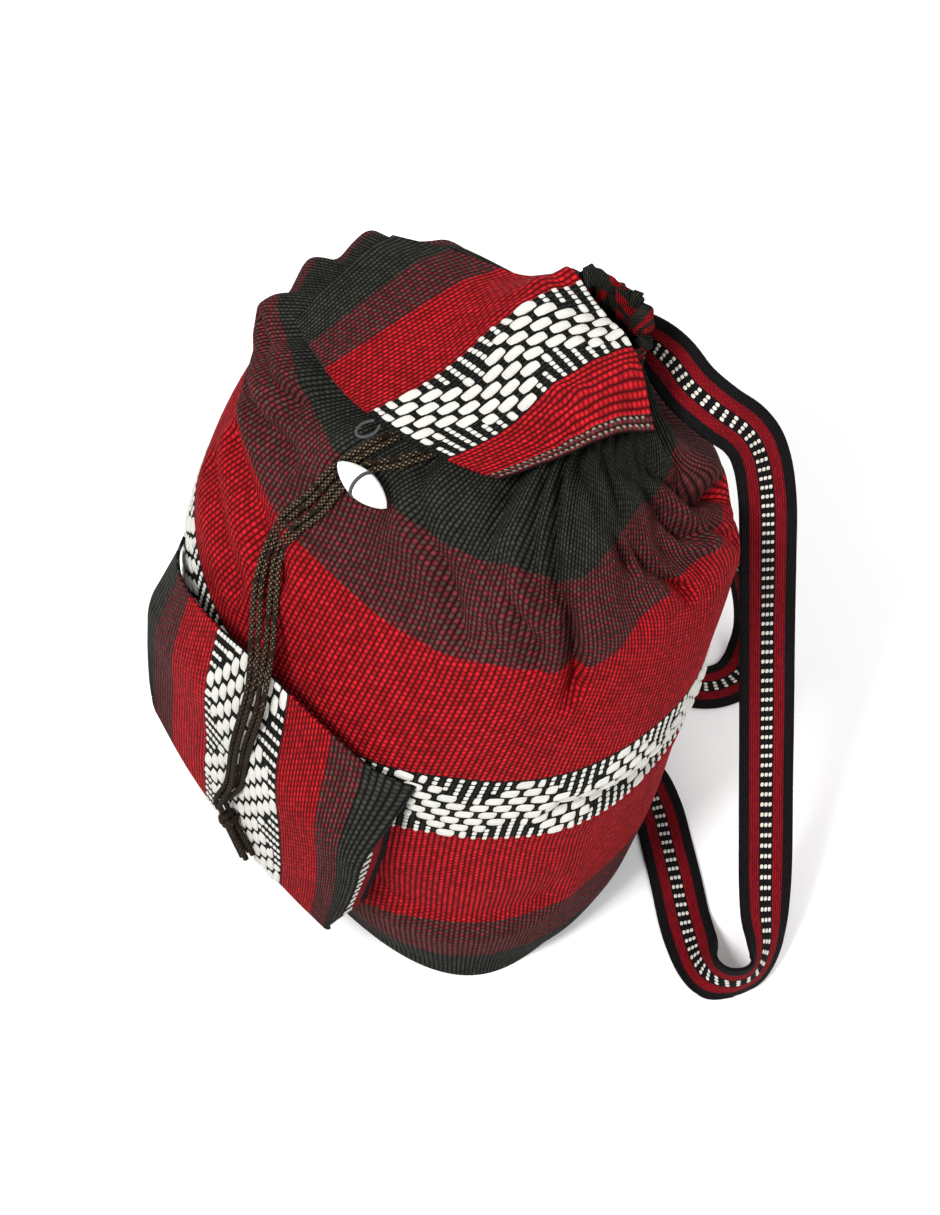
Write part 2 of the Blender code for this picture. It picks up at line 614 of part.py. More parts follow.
def make_straps(parts):
    for name, route in (("shoulder_strap_right", right_strap_route()),
                        ("shoulder_strap_left", left_strap_route())):
        centre, across = route
        ribbon(name, parts, centre, across, SASH_THICK, SASH_WIDTH, STRAP_STEPS)


def tube(name, parts, route, radius, steps, colour):
    """A round cord along a smooth curve through the route's points."""
    last = len(route) - 1
    points = [smooth_through(route, last * step / steps) for step in range(steps + 1)]
    curve = bpy.data.curves.new(name, "CURVE")
    curve.dimensions = "3D"
    line = curve.splines.new("POLY")
    line.points.add(len(points) - 1)
    for place, point in zip(line.points, points):
        place.co = (*point, 1.0)
    curve.bevel_depth = radius
    curve.bevel_resolution = 2
    curve.use_fill_caps = True
    curve.materials.append(material(colour))
    made = bpy.data.objects.new(name, curve)
    parts.objects.link(made)
    return made


def knot_frame():
    """Middle of the knot, the way up its axis and the way out of the pocket there."""
    up = -Vector(KNOT_TAIL_WAY).normalized()
    out = Vector((1, 0, 0)).cross(up).normalized()
    return Vector(KNOT_PLACE), up, out


def strand_route(bundle, side, out_side):
    """Route of one strand: half a spacing to one side of its pair, up to the knot."""
    middle, up, out = knot_frame()
    end = middle + up * (KNOT_PROFILE[0][1] + STRAND_END_GAP) + out * out_side * CORD_SPACING / 2
    line = np.array(bundle + [tuple(end + Vector((0, 0, STRAND_ARRIVAL))), tuple(end)])
    along = np.gradient(line, axis=0)
    outward = np.cross(along, (1.0, 0.0, 0.0))
    sideways = np.cross(along, outward)
    sideways /= np.linalg.norm(sideways, axis=1, keepdims=True)
    return line + sideways * side * CORD_SPACING / 2


def make_cords(parts):
    """Two pairs of drawcord strands, from under the flap to the knot that gathers them."""
    pairs = ((CORD_LEFT, 1), (CORD_RIGHT, -1))
    for number, (bundle, out_side) in enumerate(pairs):
        for place, side in ((1, 1), (2, -1)):
            route = strand_route(bundle, side, out_side)
            tube(f"drawcord_strand_{2 * number + place}", parts, route, CORD_DIAMETER / 2, STRAND_STEPS,
                 "drawcord")
    middle, up, _ = knot_frame()
    mesh = bpy.data.meshes.new("drawcord_knot")
    mesh.from_pydata([(radius, 0.0, height) for radius, height in KNOT_PROFILE],
                     [(index, index + 1) for index in range(len(KNOT_PROFILE) - 1)], [])
    made = turned("drawcord_knot", mesh, parts, "drawcord", 16)
    made.matrix_world = Matrix.Translation(middle) @ up.to_track_quat("Z", "Y").to_matrix().to_4x4()


def turned(name, mesh, parts, colour, steps):
    """An object spun from its profile about its own axis."""
    made = bpy.data.objects.new(name, mesh)
    parts.objects.link(made)
    mesh.materials.append(material(colour))
    screw = made.modifiers.new("turned", "SCREW")
    screw.steps = steps
    screw.render_steps = steps
    screw.use_merge_vertices = True
    screw.merge_threshold = 0.00001
    screw.use_smooth_shade = True
    return made


def toggle_seat(tree):
    """Point of the bag under the toggle and the way out of the cloth there."""
    x, y = TOGGLE_PLACE
    wide, deep = TOGGLE_FOOT
    points = []
    for shift_x, shift_y in ((0, 0), (wide, 0), (-wide, 0), (0, deep), (0, -deep)):
        hit = tree.ray_cast(Vector((x + shift_x, y + shift_y, RAY_START)), Vector((0, 0, -1)))[0]
        points.append(hit)
    out = (points[1] - points[2]).cross(points[3] - points[4]).normalized()
    return points[0], out


def toggle_matrix(tree):
    seat, out = toggle_seat(tree)
    long = Vector((1.0, 0.0, 0.0))
    long = (long - out * long.dot(out)).normalized()
    side = out.cross(long)
    matrix = Matrix((side, out, long)).transposed().to_4x4()
    matrix.translation = seat + out * TOGGLE_HEIGHT
    return matrix


def make_toggle(parts, tree):
    """Turned toggle, pointed at both ends, with a groove for its tie."""
    groove = TOGGLE_GROOVE_WIDTH / 2
    half = TOGGLE_LENGTH / 2
    profile = []
    for step in range(TOGGLE_STEPS + 1):
        share = step / TOGGLE_STEPS
        height = half - (half - groove) * share
        radius = TOGGLE_RADIUS * math.cos(math.pi / 2 * (height / half)) ** TOGGLE_FULLNESS
        profile.append((max(radius, 0.0), height))
    profile[0] = (0.0, half)
    waist = profile[-1][0] - TOGGLE_GROOVE_DEPTH
    profile += [(waist, groove * 0.6)]
    profile += [(radius, -height) for radius, height in reversed(profile)]
    mesh = bpy.data.meshes.new("toggle")
    mesh.from_pydata([(radius, 0.0, height) for radius, height in profile],
                     [(index, index + 1) for index in range(len(profile) - 1)], [])
    made = turned("toggle", mesh, parts, "toggle", 16)
    made.matrix_world = toggle_matrix(tree)
    return waist


def make_tie(parts, tree, waist):
    """Cord round the toggle's groove and down to the cloth."""
    big = waist + TOGGLE_FIT + TIE_RADIUS
    frame = toggle_matrix(tree)
    bpy.ops.mesh.primitive_torus_add(major_radius=big, minor_radius=TIE_RADIUS,
                                     major_segments=24, minor_segments=8)
    made = bpy.context.object
    made.name = made.data.name = "toggle_tie"
    made.matrix_world = frame
    move_to(made, parts)
    length = TOGGLE_HEIGHT - big - SEAM_GAP
    bpy.ops.mesh.primitive_cylinder_add(vertices=10, radius=TIE_STEM_RADIUS, depth=length)
    stem = bpy.context.object
    stem.name = stem.data.name = "tie_stem"
    stem.data.transform(Matrix.Rotation(math.pi / 2, 4, "X"))
    stem.data.transform(Matrix.Translation((0, -big - length / 2, 0)))
    stem.matrix_world = frame
    stem.hide_render = True
    stem.display_type = "WIRE"
    cutters = bpy.data.collections.new("cutters")
    bpy.context.scene.collection.children.link(cutters)
    move_to(stem, cutters)
    joined = made.modifiers.new("stem", "BOOLEAN")
    joined.operation = "UNION"
    joined.solver = "EXACT"
    joined.object = stem
    made.data.materials.append(material("thread"))
    made.data.shade_smooth()


def move_to(made, collection):
    for owner in list(made.users_collection):
        owner.objects.unlink(made)
    collection.objects.link(made)


def main():
    parts = start_scene()
    body = make_body(parts)
    tree = surface_tree(body)
    make_base(parts)
    make_ring(parts)
    make_flap_loop(parts, make_flap(parts, tree))
    panel = make_pocket_front(parts, tree)
    make_gusset(parts, tree, surface_tree(panel))
    make_straps(parts)
    make_cords(parts)
    make_tie(parts, tree, make_toggle(parts, tree))


main()
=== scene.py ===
import math

import bpy
import numpy as np
from mathutils import Matrix, Vector
from mathutils.bvhtree import BVHTree


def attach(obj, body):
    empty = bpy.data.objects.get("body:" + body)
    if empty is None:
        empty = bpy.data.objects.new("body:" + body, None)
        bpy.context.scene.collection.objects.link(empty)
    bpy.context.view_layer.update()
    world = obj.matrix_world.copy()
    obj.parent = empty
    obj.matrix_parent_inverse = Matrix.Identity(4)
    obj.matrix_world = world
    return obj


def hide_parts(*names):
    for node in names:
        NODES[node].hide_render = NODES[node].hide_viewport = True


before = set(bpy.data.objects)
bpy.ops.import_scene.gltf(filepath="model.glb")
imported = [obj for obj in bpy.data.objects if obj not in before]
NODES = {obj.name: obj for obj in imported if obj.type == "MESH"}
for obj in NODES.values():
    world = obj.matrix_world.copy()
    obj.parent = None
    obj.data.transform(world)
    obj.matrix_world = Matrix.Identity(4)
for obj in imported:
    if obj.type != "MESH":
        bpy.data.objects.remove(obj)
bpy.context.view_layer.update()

# The bag's sections, as in the part: height, centre x, centre y, half width, half depth,
# squareness and tilt in degrees
SECTIONS = [(0.000, 0.000, 0.000, 0.148, 0.078, 3.0, 0.0), (0.026, 0.000, 0.011, 0.155, 0.098, 2.6, 0.0),
            (0.060, 0.000, 0.022, 0.159, 0.114, 2.4, 0.0), (0.141, 0.000, 0.040, 0.161, 0.126, 2.2, 1.0),
            (0.195, 0.000, 0.053, 0.165, 0.123, 2.2, 6.0), (0.265, 0.002, 0.074, 0.154, 0.096, 2.6, 9.0),
            (0.303, 0.004, 0.074, 0.127, 0.064, 2.8, 6.0), (0.329, 0.033, 0.119, 0.026, 0.026, 2.0, 12.0)]
BASE, RED, BAND_LOW, BAND_HIGH, SHOULDER, NECK = 0, 2, 3, 4, 5, 7
PLEATS, PLEAT_DEPTH, NECK_PLEAT_DEPTH = 14, 0.0042, 0.0016
NECK_HEIGHT, RUFFLE_BACK, RUFFLE_FRONT, RUFFLE_FLARE, RUFFLE_WAVE = 0.010, 0.021, 0.006, 0.009, 0.0028
RUFFLE_LOBE, RUFFLE_CLOTH = 0.0045, 0.030
AROUND = 0.90
RIB, PICK = 0.0031, 0.00345
GAP_SHARPNESS = 1.8
# The white band sinks a little behind the pocket, between cosines of the angle off the front
BAND_DIP, DIP_EDGE = 0.012, 0.70

# Colours of the yarns, linear
# Each *_DEEP colour fills the gaps between stitches: partly the darker yarn beneath, partly painted shade in those
# hollows
RED_YARN, RED_DEEP = (0.430, 0.009, 0.014), (0.040, 0.001, 0.002)
MIXED_YARN, MIXED_DEEP = (0.160, 0.020, 0.026), (0.012, 0.003, 0.003)
BLACK_YARN, BLACK_DEEP = (0.036, 0.036, 0.029), (0.001, 0.001, 0.001)
OLIVE_YARN = (0.082, 0.036, 0.031)
WHITE_YARN = (0.54, 0.53, 0.49)
# The *_DEEP sash colours fill the gaps between stitches: partly darker yarn beneath, partly painted shade in those
# hollows
SASH_RED, SASH_RED_DEEP = (0.215, 0.004, 0.009), (0.030, 0.001, 0.002)
SASH_BLACK, SASH_BLACK_DEEP = (0.008, 0.006, 0.007), (0.001, 0.001, 0.001)


def through(rows, places):
    """Values of a smooth curve through the rows at an array of places."""
    rows = np.asarray(rows, float)
    last = len(rows) - 1
    places = np.asarray(places, float)
    index = np.clip(places.astype(int), 0, last - 1)
    part = (places - index).reshape(places.shape + (1,) * (rows.ndim - 1))
    start, end = rows[index], rows[index + 1]
    inner = (index > 0).reshape(part.shape)
    before = np.where(inner, rows[np.maximum(index - 1, 0)], 2 * start - end)
    inner = (index + 2 <= last).reshape(part.shape)
    after = np.where(inner, rows[np.minimum(index + 2, last)], 2 * end - start)
    square, cube = part ** 2, part ** 3
    return ((2 * cube - 3 * square + 1) * start + (cube - 2 * square + part) * (end - before) / 2
            + (3 * square - 2 * cube) * end + (cube - square) * (after - start) / 2)


def smooth_step(value):
    value = np.clip(value, 0.0, 1.0)
    return value * value * (3 - 2 * value)


def normals_of(points, closed_round=False):
    if closed_round:
        across = np.roll(points, -1, axis=1) - np.roll(points, 1, axis=1)
    else:
        across = np.gradient(points, axis=1)
    along = np.gradient(points, axis=0)
    found = np.cross(across, along)
    return found / np.maximum(np.linalg.norm(found, axis=2, keepdims=True), 1e-12)


class Cloth:
    """A grid of points with fabric coordinates: x along its columns and y along its rows."""

    def __init__(self, points, x, y, closed_round=False, turned=False):
        self.points, self.x, self.y, self.closed = points, np.asarray(x), np.asarray(y), closed_round
        self.normals = normals_of(points, closed_round) * (-1 if turned else 1)
        self.turned = turned

    def at(self, x, y):
        """Points and normals at fabric coordinates."""
        rows, columns = self.points.shape[:2]
        row = np.interp(y, self.y, np.arange(rows))
        if self.closed:
            column = (x - self.x[0]) / (self.x[1] - self.x[0])
        else:
            column = np.interp(x, self.x, np.arange(columns))
        r0 = np.clip(np.floor(row).astype(int), 0, rows - 2)
        c0 = np.floor(column).astype(int)
        if self.closed:
            c1 = (c0 + 1) % columns
            fc = (column - c0)[..., None]
            c0 = c0 % columns
        else:
            c0 = np.clip(c0, 0, columns - 2)
            c1 = c0 + 1
            fc = (column - c0)[..., None]
        fr = (row - r0)[..., None]
        found = []
        for grid in (self.points, self.normals):
            found.append((grid[r0, c0] * (1 - fc) + grid[r0, c1] * fc) * (1 - fr)
                         + (grid[r0 + 1, c0] * (1 - fc) + grid[r0 + 1, c1] * fc) * fr)
        return found


def link(name, mesh):
    made = bpy.data.objects.new(name, mesh)
    bpy.context.scene.collection.objects.link(made)
    return made


def cloth_object(name, cloth, material, thick=None, offset=-1.0):
    """A mesh of the cloth's grid, with its fabric coordinates as a UV map."""
    rows, columns = cloth.points.shape[:2]
    wide = columns if cloth.closed else columns - 1
    r, c = np.meshgrid(np.arange(rows - 1), np.arange(wide), indexing="ij")
    right = (c + 1) % columns
    corners = np.stack([r * columns + c, r * columns + right, (r + 1) * columns + right, (r + 1) * columns + c], -1)
    step = cloth.x[1] - cloth.x[0]
    x_right = cloth.x[c] + step if cloth.closed else cloth.x[np.minimum(c + 1, columns - 1)]
    uv = np.stack([np.stack([cloth.x[c], cloth.y[r]], -1), np.stack([x_right, cloth.y[r]], -1),
                   np.stack([x_right, cloth.y[r + 1]], -1), np.stack([cloth.x[c], cloth.y[r + 1]], -1)], -2)
    if cloth.turned:
        corners, uv = corners[..., ::-1], uv[..., ::-1, :]
    return mesh_object(name, cloth.points.reshape(-1, 3), corners.reshape(-1, 4), material, uv.reshape(-1, 2),
                       thick, offset)


def mesh_object(name, points, faces, material, uv=None, thick=None, offset=-1.0):
    mesh = bpy.data.meshes.new(name)
    faces = np.asarray(faces)
    mesh.vertices.add(len(points))
    mesh.vertices.foreach_set("co", np.asarray(points, np.float32).ravel())
    mesh.loops.add(faces.size)
    mesh.loops.foreach_set("vertex_index", faces.astype(np.int32).ravel())
    mesh.polygons.add(len(faces))
    mesh.polygons.foreach_set("loop_start", np.arange(len(faces), dtype=np.int32) * faces.shape[1])
    mesh.update(calc_edges=True)
    mesh.validate()
    if uv is not None:
        layer = mesh.uv_layers.new(name="cloth")
        layer.data.foreach_set("uv", np.asarray(uv, np.float32).ravel())
    mesh.shade_smooth()
    mesh.materials.append(material)
    made = link(name, mesh)
    if thick:
        solid = made.modifiers.new("thickness", "SOLIDIFY")
        solid.thickness = thick
        solid.offset = offset
    return made


# Materials

class Shader:
    """Short calls for building a node material."""

    def __init__(self, name):
        self.material = bpy.data.materials.new(name)
        self.material.use_nodes = True
        self.tree = self.material.node_tree
        self.surface = self.tree.nodes["Principled BSDF"]

    def node(self, kind, **values):
        made = self.tree.nodes.new(kind)
        for key, value in values.items():
            setattr(made, key, value)
        return made

    def feed(self, socket, value):
        if isinstance(value, bpy.types.NodeSocket):
            self.tree.links.new(value, socket)
        else:
            socket.default_value = value

    def math(self, kind, first, second=0.0, third=0.0):
        made = self.node("ShaderNodeMath", operation=kind)
        for socket, value in zip(made.inputs, (first, second, third)):
            self.feed(socket, value)
        return made.outputs[0]

    def mix(self, share, first, second):
        made = self.node("ShaderNodeMix", data_type="RGBA")
        self.feed(made.inputs["Factor"], share)
        for socket, value in ((made.inputs[6], first), (made.inputs[7], second)):
            self.feed(socket, (*value, 1.0) if isinstance(value, tuple) else value)
        return made.outputs[2]

    def ramp(self, share, stops):
        made = self.node("ShaderNodeValToRGB")
        made.color_ramp.interpolation = "CONSTANT"
        elements = made.color_ramp.elements
        while len(elements) > 1:
            elements.remove(elements[-1])
        elements[0].position, elements[0].color = 0.0, (*stops[0][1], 1.0)
        for place, colour in stops[1:]:
            elements.new(place).color = (*colour, 1.0)
        self.feed(made.inputs[0], share)
        return made.outputs[0]

    def cloth_axes(self):
        uv = self.node("ShaderNodeUVMap", uv_map="cloth")
        split = self.node("ShaderNodeSeparateXYZ")
        self.feed(split.inputs[0], uv.outputs[0])
        return split.outputs[0], split.outputs[1]

    def cells(self, x, y, wide, high):
        """Staggered stitches: their height profile, cell numbers and random shade."""
        column = self.math("FLOOR", self.math("DIVIDE", x, wide))
        fx = self.math("FRACT", self.math("DIVIDE", x, wide))
        shift = self.math("MULTIPLY", self.math("PINGPONG", column, 1.0), 0.5)
        along = self.math("ADD", self.math("DIVIDE", y, high), shift)
        row, fy = self.math("FLOOR", along), self.math("FRACT", along)
        bump_x = self.math("SINE", self.math("MULTIPLY", fx, math.pi))
        bump_y = self.math("SINE", self.math("MULTIPLY", fy, math.pi))
        rib = self.math("POWER", bump_x, 0.7)
        height = self.math("MULTIPLY", rib, self.math("MULTIPLY_ADD", self.math("POWER", bump_y, 0.5), 0.62, 0.38))
        cell = self.node("ShaderNodeCombineXYZ")
        self.feed(cell.inputs[0], column)
        self.feed(cell.inputs[1], row)
        noise = self.node("ShaderNodeTexWhiteNoise", noise_dimensions="3D")
        self.feed(noise.inputs["Vector"], cell.outputs[0])
        return height, column, row, noise.outputs["Value"]

    def smooth(self, value, start, end):
        """0 to 1 between start and end."""
        made = self.node("ShaderNodeMapRange", interpolation_type="SMOOTHSTEP")
        for socket, given in (("Value", value), ("From Min", start), ("From Max", end)):
            self.feed(made.inputs[socket], given)
        return made.outputs[0]

    def soft_noise(self, scale, detail=2.0):
        noise = self.node("ShaderNodeTexNoise")
        self.feed(noise.inputs["Vector"], self.node("ShaderNodeTexCoord").outputs["Object"])
        noise.inputs["Scale"].default_value = scale
        noise.inputs["Detail"].default_value = detail
        return noise.outputs[0]

    def finish(self, colour, height=None, rough=0.9, depth=0.0010, strength=1.0, sheen=0.0):
        self.feed(self.surface.inputs["Base Color"], colour if isinstance(colour, bpy.types.NodeSocket)
                  else (*colour, 1.0))
        self.surface.inputs["Roughness"].default_value = rough
        self.surface.inputs["Sheen Weight"].default_value = sheen
        self.surface.inputs["Specular IOR Level"].default_value = 0.08
        if height is not None:
            bump = self.node("ShaderNodeBump")
            bump.inputs["Distance"].default_value = depth
            bump.inputs["Strength"].default_value = strength
            self.feed(bump.inputs["Height"], height)
            self.feed(self.surface.inputs["Normal"], bump.outputs[0])
        return self.material


def woven(name, stripes, total, stripe_axis, wide=RIB, high=0.0027, drawn=()):
    """Ribbed cloth with stripes: (start in metres, yarn colour, colour of the gaps, which is partly painted shade in
    the hollows between stitches).

    A gathered cloth is drawn down or up in places. Each place holds the distance, the middle
    in degrees round the bag, the cosine of its half width, and the heights that it grows between."""
    s = Shader(name)
    x, y = s.cloth_axes()
    height, column, row, shade = s.cells(x, y, wide, high)
    across = x if stripe_axis == "x" else y
    for distance, middle, narrow, start, end in drawn:
        turn = s.math("MULTIPLY_ADD", x, 2 * math.pi / AROUND, -math.pi - math.radians(middle))
        near = s.smooth(s.math("COSINE", turn), narrow, 1.0)
        across = s.math("MULTIPLY_ADD", s.math("MULTIPLY", near, distance), s.smooth(y, start, end), across)
    if drawn:
        lobes = s.math("SINE", s.math("MULTIPLY", x, 6 * 2 * math.pi / AROUND))
        ruffle = s.smooth(y, total - RUFFLE_CLOTH, total - RUFFLE_CLOTH + 0.004)
        across = s.math("MULTIPLY_ADD", s.math("MULTIPLY", lobes, 0.007), ruffle, across)
    place = s.math("DIVIDE", across, total)
    light = s.ramp(place, [(start / total, yarn) for start, yarn, _ in stripes])
    other = s.ramp(place, [(start / total, OLIVE_YARN if yarn == MIXED_YARN else yarn) for start, yarn, _ in stripes])
    light = s.mix(s.math("PINGPONG", s.math("ADD", column, row), 1.0), light, other)
    deep = s.ramp(place, [(start / total, gap) for start, _, gap in stripes])
    # Large soft random patches darken and lighten the cloth: partly its own uneven tone, partly painted shade
    wear_and_shade = s.math("MULTIPLY_ADD", s.soft_noise(26.0, 3.0), 0.5, 0.72)
    tone = s.math("MULTIPLY", s.math("MULTIPLY_ADD", shade, 0.6, 0.70), wear_and_shade)
    tint = s.node("ShaderNodeMix", data_type="RGBA", blend_type="MULTIPLY")
    tint.inputs["Factor"].default_value = 1.0
    s.feed(tint.inputs[6], light)
    grey = s.node("ShaderNodeCombineColor")
    for socket in grey.inputs:
        s.feed(socket, tone)
    s.feed(tint.inputs[7], grey.outputs[0])
    # From the gap colour at each stitch's edge up to the yarn colour on its top: painted shade in the hollows, over
    # the darker yarn beneath
    return s.finish(s.mix(s.math("POWER", height, GAP_SHARPNESS), deep, tint.outputs[2]), height, depth=0.0013)


def yarn(name, colour, spread=0.2):
    """Thick soft yarn, its fibres along the float."""
    s = Shader(name)
    x, y = s.cloth_axes()
    fibre = s.math("SINE", s.math("MULTIPLY", y, 2 * math.pi / 0.0011))
    shade = s.math("MULTIPLY_ADD", s.soft_noise(420.0, 1.0), spread, 1.0 - spread * 0.6)
    dirt = s.math("MULTIPLY_ADD", s.soft_noise(35.0, 2.0), 0.25, 0.86)
    grey = s.node("ShaderNodeCombineColor")
    for socket in grey.inputs:
        s.feed(socket, s.math("MULTIPLY", shade, dirt))
    tint = s.node("ShaderNodeMix", data_type="RGBA", blend_type="MULTIPLY")
    tint.inputs["Factor"].default_value = 1.0
    s.feed(tint.inputs[6], (*colour, 1.0))
    s.feed(tint.inputs[7], grey.outputs[0])
    return s.finish(tint.outputs[2], fibre, depth=0.00025, strength=0.5)


def sash_cloth(name):
    """Warp-faced band: black edges, dark red sides and a chequered middle."""
    s = Shader(name)
    x, y = s.cloth_axes()
    height, _, _, shade = s.cells(x, y, 0.0013, 0.0034)
    edge = s.math("GREATER_THAN", s.math("ABSOLUTE", x), SASH_WIDTH / 2 - 0.0058)
    middle = s.math("LESS_THAN", s.math("ABSOLUTE", x), CHECK_WIDTH / 2 + 0.0004)
    dark = s.math("MAXIMUM", edge, middle)
    light = s.mix(dark, SASH_RED, SASH_BLACK)
    deep = s.mix(dark, SASH_RED_DEEP, SASH_BLACK_DEEP)
    tone = s.math("MULTIPLY_ADD", shade, 0.5, 0.7)
    # Gap colour at each stitch's edge rising to the yarn colour on its top: painted shade in the hollows, with a
    # random tone per stitch
    return s.finish(s.mix(s.math("MULTIPLY", height, tone), deep, light), height, depth=0.0005, rough=0.85)


def braid(name, dark, light, repeat=0.0034):
    """Round braided cord with light flecks; x runs round it and y along it."""
    s = Shader(name)
    x, y = s.cloth_axes()
    first = s.math("ADD", s.math("MULTIPLY", x, 4.0), s.math("DIVIDE", y, repeat))
    second = s.math("SUBTRACT", s.math("MULTIPLY", x, 4.0), s.math("DIVIDE", y, repeat))
    one = s.math("SINE", s.math("MULTIPLY", s.math("FRACT", first), math.pi))
    two = s.math("SINE", s.math("MULTIPLY", s.math("FRACT", second), math.pi))
    height = s.math("MULTIPLY", one, two)
    fleck = s.math("GREATER_THAN", s.math("MULTIPLY", one, s.math("SUBTRACT", 1.0, s.math("MULTIPLY", two, 0.55))), 0.62)
    patch = s.math("GREATER_THAN", s.soft_noise(160.0, 1.0), 0.42)
    place = s.node("ShaderNodeSeparateXYZ")
    s.feed(place.inputs[0], s.node("ShaderNodeTexCoord").outputs["Object"])
    # Light flecks fade to a sixth below about 0.2 m up, so the cords are darker towards the bottom
    fleck_height_fade = s.math("MULTIPLY_ADD", s.smooth(place.outputs[2], 0.175, 0.225), 0.85, 0.15)
    colour = s.mix(s.math("MULTIPLY", s.math("MULTIPLY", fleck, patch), fleck_height_fade), dark, light)
    return s.finish(colour, height, depth=0.0005, rough=0.8)


# Bag

def crease(u, t, line, width, depth):
    """Displacement of a sharp valley with soft shoulders, along a line of (degrees, place)."""
    here = np.stack([u, t], -1) * FOLD_SCALE
    points = np.array([(math.radians(a), b) for a, b in line]) * FOLD_SCALE
    best = np.full(u.shape, 1e9)
    for start, end in zip(points[:-1], points[1:]):
        span = end - start
        share = np.clip(((here - start) @ span) / (span @ span), 0, 1)
        best = np.minimum(best, np.linalg.norm(here - start - share[..., None] * span, axis=-1))
    valley = np.exp(-(best / width) ** 1.5)
    ridge = np.exp(-((best - 2.4 * width) / (1.3 * width)) ** 2)
    return depth * (0.45 * ridge - valley)


FOLD_SCALE = (0.125, 0.045)
FOLD_END, FOLD_FADE = 6.4, 0.5
FOLDS = [([(-46, 6.6), (-42, 6.2), (-39, 5.9), (-35, 5.6), (-34, 5.15), (-31, 4.8)], 0.013, 0.0065),
         ([(-11, 6.8), (22, 6.4), (40, 5.8), (46, 5.1)], 0.014, 0.0085),
         ([(-22, 6.7), (-8, 6.2), (2, 5.7), (8, 5.2)], 0.012, 0.0045),
         ([(100, 6.1), (110, 5.9), (116, 5.4)], 0.026, 0.0100),
         ([(60, 4.6), (80, 4.2), (100, 3.6)], 0.014, 0.0045),
         ([(120, 4.8), (135, 4.2), (140, 3.4)], 0.014, 0.0050),
         ([(-160, 4.9), (-140, 4.75), (-124, 4.6)], 0.012, 0.0045)]
# Sharp creases and small ridges, finer than the folds
CREASES = [([(-46, 6.75), (-42, 6.2), (-39, 5.9), (-35, 5.6), (-34, 5.15), (-31, 4.8)], 0.0036, 0.0090),
           ([(-40, 6.75), (-30, 6.55), (-18, 6.3), (-10, 6.0)], 0.0034, 0.0078),
           ([(-52, 6.75), (-50, 6.4), (-46, 6.0), (-41, 5.7)], 0.0034, 0.0066),
           ([(-11, 6.75), (22, 6.4), (40, 5.8), (46, 5.1)], 0.0040, 0.0094),
           ([(-30, 6.75), (0, 6.5), (14, 6.2), (24, 5.7)], 0.0036, 0.0070),
           ([(-22, 6.7), (-8, 6.2), (2, 5.7), (8, 5.2)], 0.0036, 0.0066),
           ([(-54, 5.95), (-47, 5.5), (-42, 5.1)], 0.0036, 0.0051),
           ([(-62, 6.5), (-58, 6.0), (-54, 5.6)], 0.0034, 0.0042),
           ([(-86, 6.2), (-68, 5.65), (-59, 5.05)], 0.0040, 0.0045),
           ([(-132, 4.75), (-113, 4.7), (-100, 4.5)], 0.0038, 0.0054),
           ([(-135, 4.4), (-120, 4.35), (-108, 4.25)], 0.0036, 0.0042),
           ([(-138, 5.1), (-124, 5.2), (-112, 5.3)], 0.0038, 0.0051),
           ([(-150, 5.5), (-134, 5.6), (-120, 5.75)], 0.0038, 0.0048),
           ([(20, 5.9), (30, 5.5), (33, 5.0)], 0.0036, 0.0045),
           ([(-20, 3.4), (10, 3.2), (30, 3.3)], 0.0060, 0.0039),
           ([(-62, 2.3), (-40, 2.1), (-15, 2.2)], 0.0070, 0.0033),
           ([(60, 4.6), (80, 4.2), (100, 3.6)], 0.0070, 0.0067),
           ([(120, 4.8), (135, 4.2), (140, 3.4)], 0.0070, 0.0067),
           ([(150, 2.6), (170, 2.2), (190, 2.4)], 0.0080, 0.0053)]


def fold_depth(t, u):
    """How deep the part's own folds are."""
    here = np.stack([u, t], -1) * FOLD_SCALE
    once_round = np.array([2 * math.pi, 0.0]) * FOLD_SCALE
    found = np.zeros(u.shape)
    for line, half_width, depth in FOLDS:
        points = np.array([(math.radians(degrees), section) for degrees, section in line]) * FOLD_SCALE
        nearest = np.full(u.shape, np.inf)
        for start, end in zip(points[:-1], points[1:]):
            span = end - start
            for turn in (-1, 0, 1):
                away = here + turn * once_round - start
                share = np.clip((away @ span) / (span @ span), 0, 1)
                nearest = np.minimum(nearest, np.linalg.norm(away - share[..., None] * span, axis=-1))
        found += depth * np.exp(-(nearest / half_width) ** 2)
    return found * smooth_step((FOLD_END - t) / FOLD_FADE)


def section_points(t, u, grow=0.0):
    """Points of the bag at places t and angles u."""
    height, middle_x, middle_y, wide, deep, square, tilt = np.moveaxis(through(SECTIONS, t), -1, 0)
    reach = (np.abs(np.cos(u)) ** square + np.abs(np.sin(u)) ** square) ** (-1.0 / square)
    lean = np.radians(tilt)
    across = (deep + grow) * reach * np.sin(u)
    return np.stack([middle_x + (wide + grow) * reach * np.cos(u), middle_y + across * np.cos(lean),
                     height + across * np.sin(lean)], -1)


